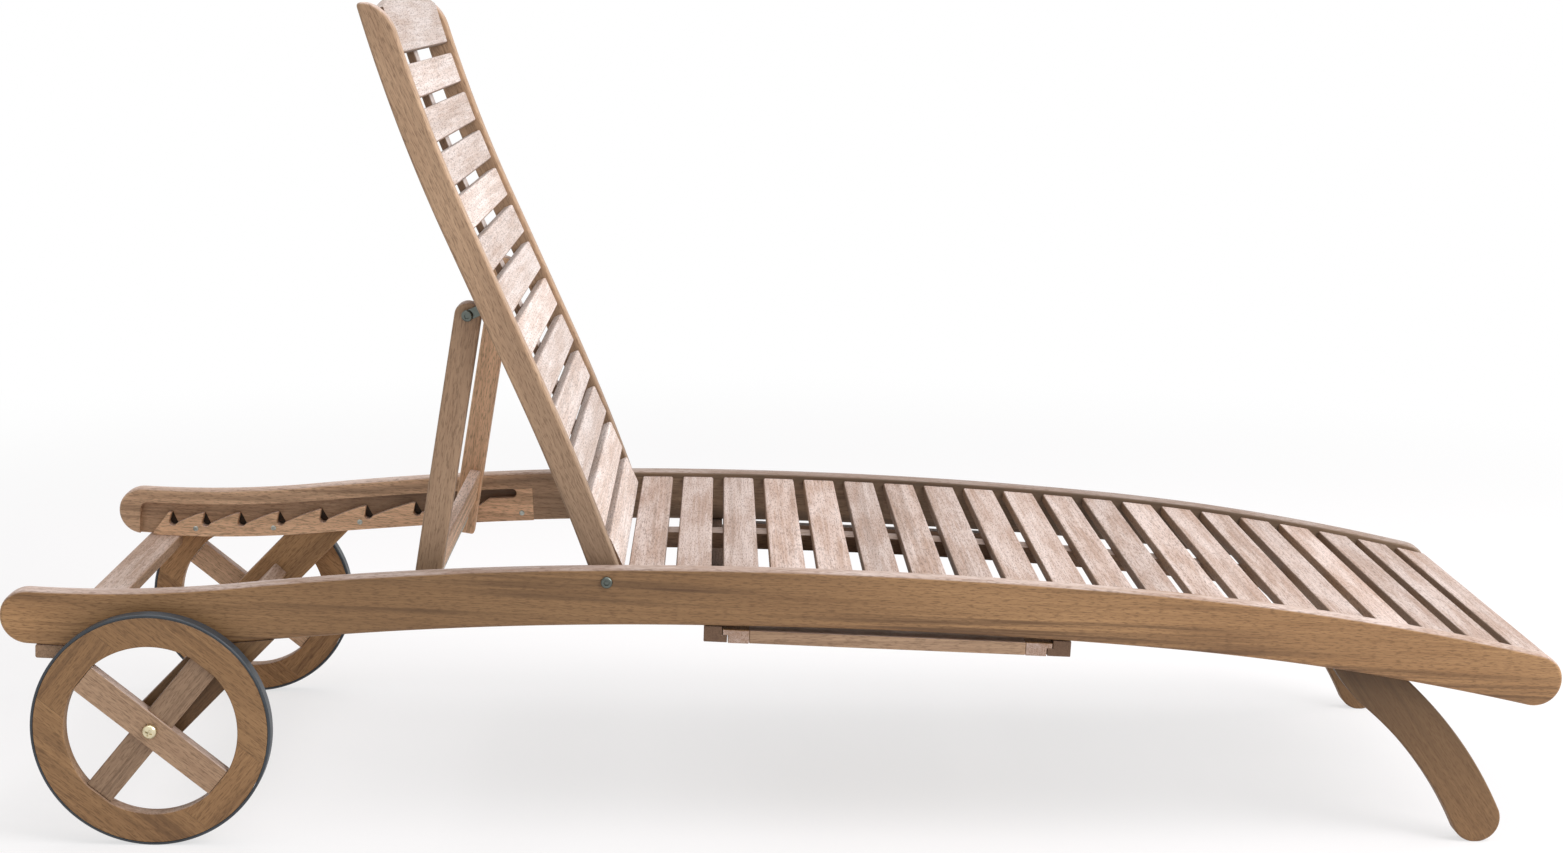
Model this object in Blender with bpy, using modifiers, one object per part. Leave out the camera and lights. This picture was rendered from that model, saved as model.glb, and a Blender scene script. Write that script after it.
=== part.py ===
"""Folding wooden sun lounger: slatted seat, tilting backrest on a notched rack, two wheels, pull-out tray.

Metres, +Z up. The origin is on the floor under the middle of the lounger, +X points to the foot end
and +Y to the left of somebody lying on it.
"""

import math

import bmesh
import bpy
from mathutils import Matrix, Vector

# Clearances
GAP = 0.0003                    # left between pieces that touch
RUN = 0.0004                    # radial play of a bore on its shaft

# Side rails: bowed boards on edge
LENGTH = 2.000
WIDTH = 0.650                   # across the rails' outer faces
RAIL_THICK = 0.025
RAIL_DEPTH = 0.0743             # along the middle
RAIL_HEAD_DEPTH = 0.0705        # at the head end
RAIL_FOOT_DEPTH = 0.069         # at the foot end
RAIL_HEAD_TOP = 0.329           # height of the top edge at the head end
RAIL_HEAD_SLOPE = -0.075        # slope of the top edge there
# Bends of the top edge: where each one starts, as a share of the length from the head end, and
# its radius, which is positive where the edge sweeps up.
RAIL_BENDS = ((0.0, 1.667), (0.150, -5.14), (0.425, -7.47), (0.750, -3.52))
HEAD_TAPER = 0.200              # the depth tapers to the head end over this share of the length
FOOT_TAPER = 0.550              # and to the foot end over this one
RAIL_EDGE = 0.004               # rounding of a rail's long edges
RAIL_STATIONS = 34
ROUND_STEPS = 12                # facets in half a turn of a rounded end

# Backrest
HINGE_FROM_HEAD = 0.7674        # hinge bolt, from the head end of the rail
HINGE_Z = 0.3433
BACK_LEAN = 24.3                # degrees from upright
STILE_THICK = 0.025
STILE_PLAY = 0.003              # washer gap between a stile and its rail
STILE_WIDTH = 0.036
STILE_AHEAD = 0.0095            # straight part's middle line, ahead of the hinge axis
STILE_TOP_BEND = 0.480          # above this height the stile bends forward
STILE_TOP_RADIUS = 2.13
STILE_FOOT_BEND = 0.260         # below this height it bends back to the hinge
STILE_FOOT_RADIUS = 3.2
STILE_HEIGHT = 0.781            # hinge axis to the top of the middle line
STILE_SHOULDER = 0.048          # rounding of the top's front corner, down the stile
STILE_STATIONS = 7
BOARD_EDGE = 0.003              # rounding of slats, stiles and battens
BACK_SLATS = 12
BACK_SLAT_START = -0.004        # lower edge of the lowest back slat, along the stile
BACK_SLAT_PITCH = 0.0592
BACK_SLAT_WIDTH = 0.045
BACK_SLAT_RECESS = 0.0065       # slat faces behind the stile's front edge
BACK_SLAT_THICK = 0.015
HEAD_BOARD_HEIGHT = 0.061       # at its ends
HEAD_BOARD_RISE = 0.018         # arch of its top edge
BACK_BATTEN_WIDTH = 0.036
BACK_BATTEN_THICK = 0.011
BACK_BATTEN_Y = 0.012           # batten's middle, from the lounger's middle
SLAT_LET_IN = 0.002             # back slats let into their batten
BATTEN_OVERLAP = 0.030          # batten behind the head board
BATTEN_STATIONS = 6

# Prop and rack
PIVOT_UP = 0.376                # prop pivot along the stile
PIVOT_BEHIND = 0.027            # prop pivot behind the hinge axis
PROP_LEAN = 9.0                 # degrees from upright
PROP_WIDTH = 0.034
PROP_THICK = 0.022
PROP_TAIL = 0.024               # leg below the rod
ROD_RADIUS = 0.005
ROD_END_PLAY = 0.0010           # rod end to the rack's face
STRETCHER_HEIGHT = 0.046
STRETCHER_THICK = 0.016
STRETCHER_UP = 0.052            # stretcher's middle above the rod
STRETCHER_AHEAD = 0.005
BRACKET_THICK = 0.003
BRACKET_RADIUS = 0.011
BRACKET_PLAY = 0.001            # bracket's end to the back of the slats
REBATE_DEPTH = 0.012
REBATE_HEAD = 0.034             # from the head end of the rail
REBATE_FOOT = 0.625
REBATE_CORNER = 0.012
RACK_HEAD = 0.054
CHANNEL_FOOT = 0.600
LIP_RISE = 0.050                # top of the rebate above the rail's lower edge
PEAK_RISE = 0.036               # tooth tips above the rail's lower edge
FLOOR_RISE = 0.015              # notch floors above the rail's lower edge
NOTCHES = 8
NOTCH_PITCH = 0.082             # first notch to the second
NOTCH_SHRINK = 0.915            # each pitch as a share of the one before
NOTCH_WIDTH = 0.0120
TOOTH_FLAT = 0.004
TOOTH_TOE = 0.004

# Seat
SEAT_SLATS = 20
SEAT_FROM_HINGE = 0.0256        # hinge axis to the head-side edge of the first slat
SEAT_SLAT_WIDTH = 0.046
SEAT_SLAT_THICK = 0.014
SEAT_SLAT_SINK = 0.008          # slat faces below the rails' top edge
SEAT_END = 0.001                # last slat's edge to the rails' foot end
SEAT_BATTEN_WIDTH = 0.036
SEAT_BATTEN_DEPTH = 0.022
SEAT_BATTEN_Y = 0.000           # batten's middle, from the lounger's middle
SEAT_BATTEN_STATIONS = 16

# Legs, cross bar and axle beam
FRONT_LEG_WIDTH = 0.063
FRONT_LEG_THICK = 0.025
FRONT_LEG_SET_IN = 0.0165       # leg's outer face inside the rail's outer face
FRONT_LEG_LAP = 0.035           # leg up the rail's inner face, above the rail's lower edge
FRONT_LEG_FROM_FOOT = 0.0945    # foot of the leg, from the foot end of the rail
FRONT_LEG_RUN = 0.1706          # foot of the leg to its top, towards the head end
FRONT_LEG_SAG = 0.0175          # bow of the leg's centre line
FOOT_FLAT_ANGLE = 7.5           # degrees each side of the foot's flat
FRONT_LEG_STEPS = 10
BACK_LEG_WIDTH = 0.064
BACK_LEG_THICK = 0.022
BACK_LEG_ANGLE = 46.0           # degrees above level
LEG_REACH = 0.300               # a back leg runs on into the rail's place before it is cut to it
AXLE_BEAM_THICK = 0.024
AXLE_BEAM_WIDTH = 0.058
AXLE_BEAM_UP = 0.045            # beam's middle along the leg, from the axle
HEAD_BAR_START = 0.043          # from the head end of the rail
HEAD_BAR_WIDTH = 0.048
HEAD_BAR_THICK = 0.018
HEAD_BAR_INSET = 0.003          # bar's ends inside the rails' outer faces

# Wheels
WHEEL_FROM_HEAD = 0.1925        # axle, from the head end of the rail
WHEEL_RADIUS = 0.1515
TYRE_THICK = 0.004
RIM_WIDTH = 0.038
WHEEL_THICK = 0.021
WHEEL_PLAY = 0.008              # between a rail's outer face and its wheel
SPOKE_WIDTH = 0.038
SPOKE_THICK = 0.017
SPOKE_SHIFT = 0.0015            # one spoke stands out, the other one back
SPOKE_ANGLE = -39.2
WHEEL_STEPS = 48
AXLE_RADIUS = 0.006
CAP_RADIUS = 0.0095
CAP_HEIGHT = 0.009
CAP_WALL = 0.003
COLLAR_RADIUS = 0.011

# Bolts
BOLT_RADIUS = 0.004
BOLT_HEAD_RADIUS = 0.0075
BOLT_HEAD_THICK = 0.004
NUT_RADIUS = 0.0055
NUT_THICK = 0.005
BOLT_STEPS = 16

# Pull-out tray
TRAY_FROM_HINGE = 0.3594        # middle of the tray, from the hinge axis
TRAY_SPAN = 0.448               # between the runners' middles
RUNNER_WIDTH = 0.023
RUNNER_HEIGHT = 0.0205
RUNNER_LIP = 0.007
RUNNER_LIP_HEIGHT = 0.0095
RUNNER_INSET = 0.003
TRAY_SIDE_WIDTH = 0.034
TRAY_THICK = 0.017
TRAY_LENGTH = 0.320             # across the lounger
TRAY_STOP = 0.020               # bar across the runners' far ends
TRAY_STOP_DROP = 0.003          # bar's top below the runners' top
TRAY_BOARDS = 5
TRAY_BOARD_GAP = 0.007
TRAY_BOARD_THICK = 0.0165
TRAY_GROOVE_DEPTH = 0.005
TRAY_PLAY = 0.001
TRAY_DROP = 0.0005              # tray's underside below the runners' underside

# Finishes: colour, roughness, metallic
RAIL_WOOD = ((0.36, 0.20, 0.10), 0.55, 0.0)
SLAT_WOOD = ((0.46, 0.30, 0.22), 0.62, 0.0)
WHEEL_WOOD = ((0.38, 0.21, 0.11), 0.55, 0.0)
STEEL = ((0.42, 0.43, 0.40), 0.35, 1.0)
BRASSED_STEEL = ((0.62, 0.55, 0.38), 0.30, 1.0)
RUBBER = ((0.035, 0.040, 0.050), 0.70, 0.0)

# Places that follow from the sizes above
HEAD_END = -LENGTH / 2
FOOT_END = LENGTH / 2
HINGE_X = HEAD_END + HINGE_FROM_HEAD
WHEEL_X = HEAD_END + WHEEL_FROM_HEAD
SEAT_START = HINGE_X + SEAT_FROM_HINGE
FRONT_LEG_FOOT_X = FOOT_END - FRONT_LEG_FROM_FOOT
FRONT_LEG_TOP_X = FRONT_LEG_FOOT_X - FRONT_LEG_RUN
TRAY_X = HINGE_X + TRAY_FROM_HINGE
RAIL_INNER = WIDTH / 2 - RAIL_THICK
RAIL_MIDDLE = WIDTH / 2 - RAIL_THICK / 2
STILE_OUTER = RAIL_INNER - STILE_PLAY
STILE_INNER = STILE_OUTER - STILE_THICK
BRACKET_INNER = STILE_INNER - GAP - BRACKET_THICK
PROP_OUTER = BRACKET_INNER - GAP
PROP_INNER = PROP_OUTER - PROP_THICK
WHEEL_INNER = WIDTH / 2 + WHEEL_PLAY
WHEEL_OUTER = WHEEL_INNER + WHEEL_THICK
SIDES = (("right", -1), ("left", 1))

parts = None
cutters = None


def start_scene():
    """Empties the scene and makes the two collections."""
    global parts, cutters
    for obj in list(bpy.data.objects):
        bpy.data.objects.remove(obj, do_unlink=True)
    parts = bpy.data.collections.new("sun_lounger")
    cutters = bpy.data.collections.new("cutters")
    bpy.context.scene.collection.children.link(parts)
    bpy.context.scene.collection.children.link(cutters)


def finish(obj, look):
    """Gives a piece its own material."""
    colour, roughness, metallic = look
    material = bpy.data.materials.new(obj.name + "_finish")
    material.use_nodes = True
    shader = material.node_tree.nodes["Principled BSDF"]
    shader.inputs["Base Color"].default_value = (*colour, 1.0)
    shader.inputs["Roughness"].default_value = roughness
    shader.inputs["Metallic"].default_value = metallic
    obj.data.materials.clear()
    obj.data.materials.append(material)


def axis_empty(name, location, lean=0.0, parent=None):
    """An empty on a joint axis, turned about Y by lean degrees."""
    empty = bpy.data.objects.new(name, None)
    empty.location = location
    empty.rotation_euler = (0.0, math.radians(lean), 0.0)
    empty.parent = parent
    parts.objects.link(empty)
    return empty


def solid_of(obj):
    """The evaluated mesh of an object, with its loose caps welded."""
    bpy.context.view_layer.update()
    evaluated = obj.evaluated_get(bpy.context.evaluated_depsgraph_get())
    mesh = bpy.data.meshes.new_from_object(evaluated)
    work = bmesh.new()
    work.from_mesh(mesh)
    bmesh.ops.remove_doubles(work, verts=work.verts, dist=1e-6)
    bmesh.ops.recalc_face_normals(work, faces=work.faces)
    work.to_mesh(mesh)
    work.free()
    return mesh


def plate(name, outline, low_y, high_y, look=None, edge=0.0, parent=None, cutter=False):
    """A board: an outline in X and Z, extruded from low_y to high_y, its edges rounded by edge."""
    curve = bpy.data.curves.new(name, "CURVE")
    curve.dimensions = "2D"
    curve.fill_mode = "BOTH"
    curve.extrude = (high_y - low_y) / 2 - edge
    curve.bevel_depth = edge
    curve.bevel_resolution = 0
    curve.offset = -edge
    spline = curve.splines.new("POLY")
    spline.points.add(len(outline) - 1)
    for point, (x, z) in zip(spline.points, outline):
        point.co = (x, z, 0.0, 1.0)
    spline.use_cyclic_u = True
    drawn = bpy.data.objects.new(name + "_outline", curve)
    parts.objects.link(drawn)
    mesh = solid_of(drawn)
    bpy.data.objects.remove(drawn, do_unlink=True)
    upright = Matrix.Translation((0.0, (low_y + high_y) / 2, 0.0)) @ Matrix.Rotation(math.pi / 2, 4, "X")
    mesh.transform(upright)
    return keep(name, mesh, look, parent, cutter)


def keep(name, mesh, look=None, parent=None, cutter=False):
    """Puts a mesh into the scene as a part or as a cutter."""
    mesh.name = name
    obj = bpy.data.objects.new(name, mesh)
    obj.parent = parent
    if cutter:
        cutters.objects.link(obj)
        obj.hide_render = True
        obj.display_type = "WIRE"
    else:
        parts.objects.link(obj)
    if look:
        finish(obj, look)
    return obj


def block(name, size, place, look=None, edge=BOARD_EDGE, lean=0.0, parent=None, cutter=False):
    """A squared board of the given size, its middle at place, turned about Y by lean degrees."""
    mesh = bpy.data.meshes.new(name)
    work = bmesh.new()
    bmesh.ops.create_cube(work, size=1.0)
    bmesh.ops.scale(work, verts=work.verts, vec=size)
    work.to_mesh(mesh)
    work.free()
    obj = keep(name, mesh, look, parent, cutter)
    obj.location = place
    obj.rotation_euler = (0.0, math.radians(lean), 0.0)
    if edge:
        bevel = obj.modifiers.new("rounded_edges", "BEVEL")
        bevel.width = edge
        bevel.segments = 1
    return obj


def turned(name, profile, steps, place, side, look=None, parent=None, cutter=False):
    """A turned piece about a line along Y: profile holds (radius, distance out from place) pairs.

    side is 1 where out is +Y and -1 where out is -Y.
    """
    mesh = bpy.data.meshes.new(name)
    closed = profile[0][0] > 0.0
    edges = [(i, i + 1) for i in range(len(profile) - 1)]
    if closed:
        edges.append((len(profile) - 1, 0))
    mesh.from_pydata([(radius, 0.0, out) for radius, out in profile], edges, [])
    obj = keep(name, mesh, None, parent, cutter)
    obj.location = place
    obj.rotation_euler = (-side * math.pi / 2, 0.0, 0.0)
    screw = obj.modifiers.new("turning", "SCREW")
    screw.axis = "Z"
    screw.steps = steps
    screw.render_steps = steps
    screw.use_merge_vertices = True
    screw.merge_threshold = 1e-5
    if look:
        finish(obj, look)
    return obj


def cut(obj, cutter, operation="DIFFERENCE"):
    """Cuts a piece with a cutter."""
    boolean = obj.modifiers.new(cutter.name, "BOOLEAN")
    boolean.operation = operation
    boolean.solver = "EXACT"
    boolean.object = cutter


def bore(name, radius, place, length, steps=BOLT_STEPS, parent=None):
    """A round cutter along Y, its middle at place."""
    profile = [(0.0, length / 2), (radius, length / 2), (radius, -length / 2), (0.0, -length / 2)]
    return turned(name, profile, steps, place, 1, parent=parent, cutter=True)


def bolt_profile(grip):
    """Head, shank and nut of a bolt whose head seats at 0 and whose nut is grip further in."""
    inner = -grip
    return [(0.0, BOLT_HEAD_THICK), (BOLT_HEAD_RADIUS, BOLT_HEAD_THICK), (BOLT_HEAD_RADIUS, GAP),
            (BOLT_RADIUS, GAP), (BOLT_RADIUS, inner - GAP), (NUT_RADIUS, inner - GAP),
            (NUT_RADIUS, inner - NUT_THICK), (0.0, inner - NUT_THICK)]


def ring_profile(inner, outer, low, high, edge):
    """Section of a ring with chamfered outer edges, run down its outer side."""
    return [(inner, high), (outer - edge, high), (outer, high - edge), (outer, low + edge),
            (outer - edge, low), (inner, low)]


def spread(first, last, count):
    """Evenly spaced values from first to last."""
    return [first + (last - first) * i / (count - 1) for i in range(count)]


def arc(centre, radius, start, end, steps):
    """Points on an arc in X and Z, angles in radians."""
    return [(centre[0] + radius * math.cos(a), centre[1] + radius * math.sin(a))
            for a in spread(start, end, steps + 1)]


def rail_edge_line(x):
    """Height and slope of a rail's top edge: one bend after another from the head end."""
    height = RAIL_HEAD_TOP
    slope = RAIL_HEAD_SLOPE
    starts = [HEAD_END + share * LENGTH for share, radius in RAIL_BENDS]
    ends = starts[1:] + [math.inf]
    for start, end, (share, radius) in zip(starts, ends, RAIL_BENDS):
        run = min(x, end) - start
        if run > 0.0:
            height += slope * run + run ** 2 / (2 * radius)
            slope += run / radius
    return height, slope


def rail_top(x):
    """Height of a rail's top edge."""
    return rail_edge_line(x)[0]


def rail_slope(x):
    """Slope of a rail's top edge."""
    return rail_edge_line(x)[1]


def rail_depth(x):
    """Depth of a rail square to its top edge, tapering to both ends."""
    head = max(0.0, 1.0 - (x - HEAD_END) / (HEAD_TAPER * LENGTH))
    foot = max(0.0, 1.0 - (FOOT_END - x) / (FOOT_TAPER * LENGTH))
    return RAIL_DEPTH + (RAIL_HEAD_DEPTH - RAIL_DEPTH) * head + (RAIL_FOOT_DEPTH - RAIL_DEPTH) * foot


def rail_point(x, rise):
    """A point a given rise above the rail's lower edge, square to the rail, at station x."""
    slope = rail_slope(x)
    long = math.hypot(1.0, slope)
    below = rail_depth(x) - rise
    return (x + slope * below / long, rail_top(x) - below / long)


def rail_bottom(x):
    """Height of a rail's lower edge at x."""
    return rail_top(x) - rail_depth(x) * math.hypot(1.0, rail_slope(x))


def rail_outline(grow=0.0):
    """A rail seen from the side, with half-round ends; grow widens it all round."""
    head_round = RAIL_HEAD_DEPTH / 2
    foot_round = RAIL_FOOT_DEPTH / 2
    head_turn = math.atan(rail_slope(HEAD_END + head_round))
    foot_turn = math.atan(rail_slope(FOOT_END - foot_round))
    head_x = HEAD_END + head_round * (1.0 - math.sin(head_turn))
    foot_x = FOOT_END - foot_round * (1.0 + math.sin(foot_turn))
    stations = spread(head_x, foot_x, RAIL_STATIONS)
    top = [rail_point(x, rail_depth(x) + grow) for x in stations]
    bottom = [rail_point(x, -grow) for x in reversed(stations)]
    quarter = math.pi / 2
    foot_middle = rail_point(foot_x, rail_depth(foot_x) / 2)
    foot_radius = rail_depth(foot_x) / 2 + grow
    foot_end = arc(foot_middle, foot_radius, foot_turn + quarter, foot_turn - quarter, ROUND_STEPS)
    head_middle = rail_point(head_x, rail_depth(head_x) / 2)
    head_radius = rail_depth(head_x) / 2 + grow
    head_end = arc(head_middle, head_radius, head_turn - quarter, head_turn - 3 * quarter, ROUND_STEPS)
    return top + foot_end[1:-1] + bottom + head_end[1:-1]


def prop_length():
    """Pivot to rod: as long as brings the rod down onto the floor of a notch."""
    pivot_x, pivot_z = back_point(-PIVOT_BEHIND, PIVOT_UP)
    lean = math.radians(PROP_LEAN)
    length = pivot_z - RAIL_HEAD_TOP
    for step in range(8):
        rod_x = pivot_x - length * math.sin(lean)
        length = (pivot_z - rail_bottom(rod_x) - FLOOR_RISE - GAP - ROD_RADIUS) / math.cos(lean)
    return length


def rod_place():
    """The rod's place in X and Z, at the foot of the prop."""
    pivot_x, pivot_z = back_point(-PIVOT_BEHIND, PIVOT_UP)
    lean = math.radians(PROP_LEAN)
    return (pivot_x - prop_length() * math.sin(lean), pivot_z - prop_length() * math.cos(lean))


def back_point(ahead, up):
    """World X and Z of a point ahead of the hinge axis and up along the stile."""
    lean = math.radians(BACK_LEAN)
    return (HINGE_X + ahead * math.cos(lean) - up * math.sin(lean),
            HINGE_Z + ahead * math.sin(lean) + up * math.cos(lean))


def notch_places():
    """Notches from the foot end to the head end: the rod rests in the first, the pitch shrinks."""
    places = [rod_place()[0]]
    pitch = NOTCH_PITCH
    for k in range(1, NOTCHES):
        places.append(places[-1] - pitch)
        pitch *= NOTCH_SHRINK
    return places


def rebate_outline():
    """The rebate in a rail's inner face, open at the rail's lower edge."""
    head = HEAD_END + REBATE_HEAD
    foot = HEAD_END + REBATE_FOOT
    below = -RAIL_DEPTH / 4
    corner_steps = 4
    corner = []
    for i in range(corner_steps + 1):
        turn = math.pi / 2 * i / corner_steps
        corner.append((head + REBATE_CORNER * (1 - math.cos(turn)),
                       LIP_RISE - REBATE_CORNER * (1 - math.sin(turn))))
    top = [(x, LIP_RISE) for x in spread(head + REBATE_CORNER, foot, RAIL_STATIONS // 2)[1:]]
    bottom = [(x, below) for x in spread(foot, head, RAIL_STATIONS // 2)]
    return [rail_point(x, rise) for x, rise in corner + top + bottom]


def rack_outline():
    """A toothed rack: each notch has a steep wall towards the head end and a ramp towards the foot end."""
    head = HEAD_END + RACK_HEAD
    foot = HEAD_END + REBATE_FOOT - GAP
    channel = HEAD_END + CHANNEL_FOOT
    half = NOTCH_WIDTH / 2
    places = notch_places()
    profile = [(foot, LIP_RISE - GAP), (channel, LIP_RISE - GAP), (channel, PEAK_RISE)]
    peak_foot = min(channel, places[0] + half + 2 * NOTCH_WIDTH)
    for x in places:
        profile.append((peak_foot, PEAK_RISE))
        profile.append((x + half, FLOOR_RISE + TOOTH_TOE))
        profile.append((x + half - TOOTH_TOE, FLOOR_RISE))
        profile.append((x - half, FLOOR_RISE))
        profile.append((x - half, PEAK_RISE))
        peak_foot = x - half - TOOTH_FLAT
    profile.append((peak_foot, PEAK_RISE))
    profile.append((head, TOOTH_TOE))
    bottom = [(x, 0.0) for x in spread(head, foot, RAIL_STATIONS // 2)]
    outline = [rail_point(x, rise) for x, rise in profile + bottom]
    return [p for i, p in enumerate(outline) if math.dist(p, outline[i - 1]) > GAP]


def make_rails():
    """The two side rails, with the rebate for the rack and the hole for the hinge bolt."""
    for side_name, side in SIDES:
        low, high = sorted((side * RAIL_INNER, side * WIDTH / 2))
        rail = plate("side_rail_" + side_name, rail_outline(), low, high, RAIL_WOOD, RAIL_EDGE)
        reach = sorted((side * (RAIL_INNER - RAIL_THICK), side * (RAIL_INNER + REBATE_DEPTH)))
        rebate = plate("rebate_cut_" + side_name, rebate_outline(), *reach, cutter=True)
        cut(rail, rebate)
        hole = bore("rail_hole_" + side_name, BOLT_RADIUS + RUN, (HINGE_X, side * RAIL_MIDDLE, HINGE_Z),
                    RAIL_THICK * 2)
        cut(rail, hole)


def make_racks():
    """The toothed racks, flush with the rails' inner faces."""
    for side_name, side in SIDES:
        reach = sorted((side * RAIL_INNER, side * (RAIL_INNER + REBATE_DEPTH - GAP)))
        plate("rack_" + side_name, rack_outline(), *reach, RAIL_WOOD)


def make_seat():
    """The seat slats between the rails, and the batten under their middles."""
    last = FOOT_END - SEAT_END - SEAT_SLAT_WIDTH
    length = 2 * (RAIL_INNER - GAP)
    middles = [x + SEAT_SLAT_WIDTH / 2 for x in spread(SEAT_START, last, SEAT_SLATS)]
    for i, x in enumerate(middles):
        slope = math.atan(rail_slope(x))
        drop = SEAT_SLAT_SINK + SEAT_SLAT_THICK / 2
        place = (x + drop * math.sin(slope), 0.0, rail_top(x) - drop * math.cos(slope))
        block("seat_slat_%02d" % (i + 1), (SEAT_SLAT_WIDTH, length, SEAT_SLAT_THICK), place, SLAT_WOOD,
              lean=-math.degrees(slope))
    top = SEAT_SLAT_SINK + SEAT_SLAT_THICK + GAP
    stations = spread(SEAT_START, last + SEAT_SLAT_WIDTH, SEAT_BATTEN_STATIONS)
    upper = [rail_point(x, rail_depth(x) - top) for x in stations]
    lower = [rail_point(x, rail_depth(x) - top - SEAT_BATTEN_DEPTH) for x in reversed(stations)]
    plate("seat_batten", upper + lower, SEAT_BATTEN_Y - SEAT_BATTEN_WIDTH / 2,
          SEAT_BATTEN_Y + SEAT_BATTEN_WIDTH / 2, RAIL_WOOD)


def leg_cutters(side_name, side):
    """Two cutters for one side's legs: the rail's outline with a clearance, and all that is above the lap."""
    reach = sorted((side * (RAIL_INNER - GAP), side * WIDTH))
    seat = plate("rail_seat_cut_" + side_name, rail_outline(GAP), *reach, cutter=True)
    stations = spread(HEAD_END, FOOT_END, RAIL_STATIONS)
    lap = [rail_point(x, FRONT_LEG_LAP) for x in stations]
    high = [(lap[-1][0], WIDTH), (lap[0][0], WIDTH)]
    above = plate("above_lap_cut_" + side_name, lap + high, *sorted((0.0, side * WIDTH)), cutter=True)
    return seat, above


def front_leg_outline():
    """A bowed leg with a round foot that has a small flat on the floor."""
    half = FRONT_LEG_WIDTH / 2
    flat = math.radians(FOOT_FLAT_ANGLE)
    foot = Vector((FRONT_LEG_FOOT_X, half * math.cos(flat)))
    top = Vector((FRONT_LEG_TOP_X, rail_bottom(FRONT_LEG_TOP_X)))
    chord = (foot - top).length
    bow = ((chord / 2) ** 2 + FRONT_LEG_SAG ** 2) / (2 * FRONT_LEG_SAG)
    along = (foot - top).normalized()
    # The bow's centre lies on the concave side, towards the head end and the floor.
    centre = (foot + top) / 2 - Vector((-along.y, along.x)) * (bow - FRONT_LEG_SAG)
    foot_angle = math.atan2(foot.y - centre.y, foot.x - centre.x)
    top_angle = math.atan2(top.y - centre.y, top.x - centre.x) + FRONT_LEG_WIDTH / bow
    outer = arc(centre, bow + half, top_angle, foot_angle, FRONT_LEG_STEPS)
    inner = arc(centre, bow - half, foot_angle, top_angle, FRONT_LEG_STEPS)
    down = -math.pi / 2
    sole = arc(foot, half, foot_angle, down + flat, ROUND_STEPS // 2)
    heel = arc(foot, half, down - flat, foot_angle - math.pi, ROUND_STEPS // 2)
    return outer[:-1] + sole + heel[:-1] + inner


def back_leg_outline():
    """A straight slanted leg, rounded about the axle."""
    angle = math.radians(BACK_LEG_ANGLE)
    half = BACK_LEG_WIDTH / 2
    axle = (WHEEL_X, WHEEL_RADIUS)
    round_end = arc(axle, half, angle + math.pi / 2, angle + 3 * math.pi / 2, ROUND_STEPS)
    run = (LEG_REACH * math.cos(angle), LEG_REACH * math.sin(angle))
    upper = [(x + run[0], z + run[1]) for x, z in (round_end[-1], round_end[0])]
    return round_end + upper


def make_legs():
    """Back legs under the rails, and front legs that are shouldered under the rails and lap their inner faces."""
    for side_name, side in SIDES:
        seat, above = leg_cutters(side_name, side)
        outer = side * (WIDTH / 2 - FRONT_LEG_SET_IN)
        low, high = sorted((outer, outer - side * FRONT_LEG_THICK))
        front = plate("front_leg_" + side_name, front_leg_outline(), low, high, RAIL_WOOD)
        low = side * RAIL_MIDDLE - BACK_LEG_THICK / 2
        high = side * RAIL_MIDDLE + BACK_LEG_THICK / 2
        back = plate("back_leg_" + side_name, back_leg_outline(), low, high, RAIL_WOOD)
        for leg in (front, back):
            cut(leg, above)
            cut(leg, seat)
        hole = bore("leg_hole_" + side_name, AXLE_RADIUS + GAP, (WHEEL_X, side * RAIL_MIDDLE, WHEEL_RADIUS),
                    RAIL_THICK * 2)
        cut(back, hole)


def make_cross_pieces():
    """Head cross bar under the rails, and the axle beam between the back legs."""
    bar_x = HEAD_END + HEAD_BAR_START + HEAD_BAR_WIDTH / 2
    slope = math.atan(rail_slope(bar_x))
    drop = GAP + HEAD_BAR_THICK / 2
    bar = (bar_x + drop * math.sin(slope), 0.0, rail_bottom(bar_x) - drop * math.cos(slope))
    block("head_cross_bar", (HEAD_BAR_WIDTH, WIDTH - 2 * HEAD_BAR_INSET, HEAD_BAR_THICK), bar, SLAT_WOOD,
          lean=-math.degrees(slope))
    angle = math.radians(BACK_LEG_ANGLE)
    beam = (WHEEL_X + AXLE_BEAM_UP * math.cos(angle), 0.0, WHEEL_RADIUS + AXLE_BEAM_UP * math.sin(angle))
    length = 2 * (RAIL_MIDDLE - BACK_LEG_THICK / 2 - GAP)
    block("axle_beam", (AXLE_BEAM_WIDTH, length, AXLE_BEAM_THICK), beam, RAIL_WOOD, lean=-BACK_LEG_ANGLE)


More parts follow.
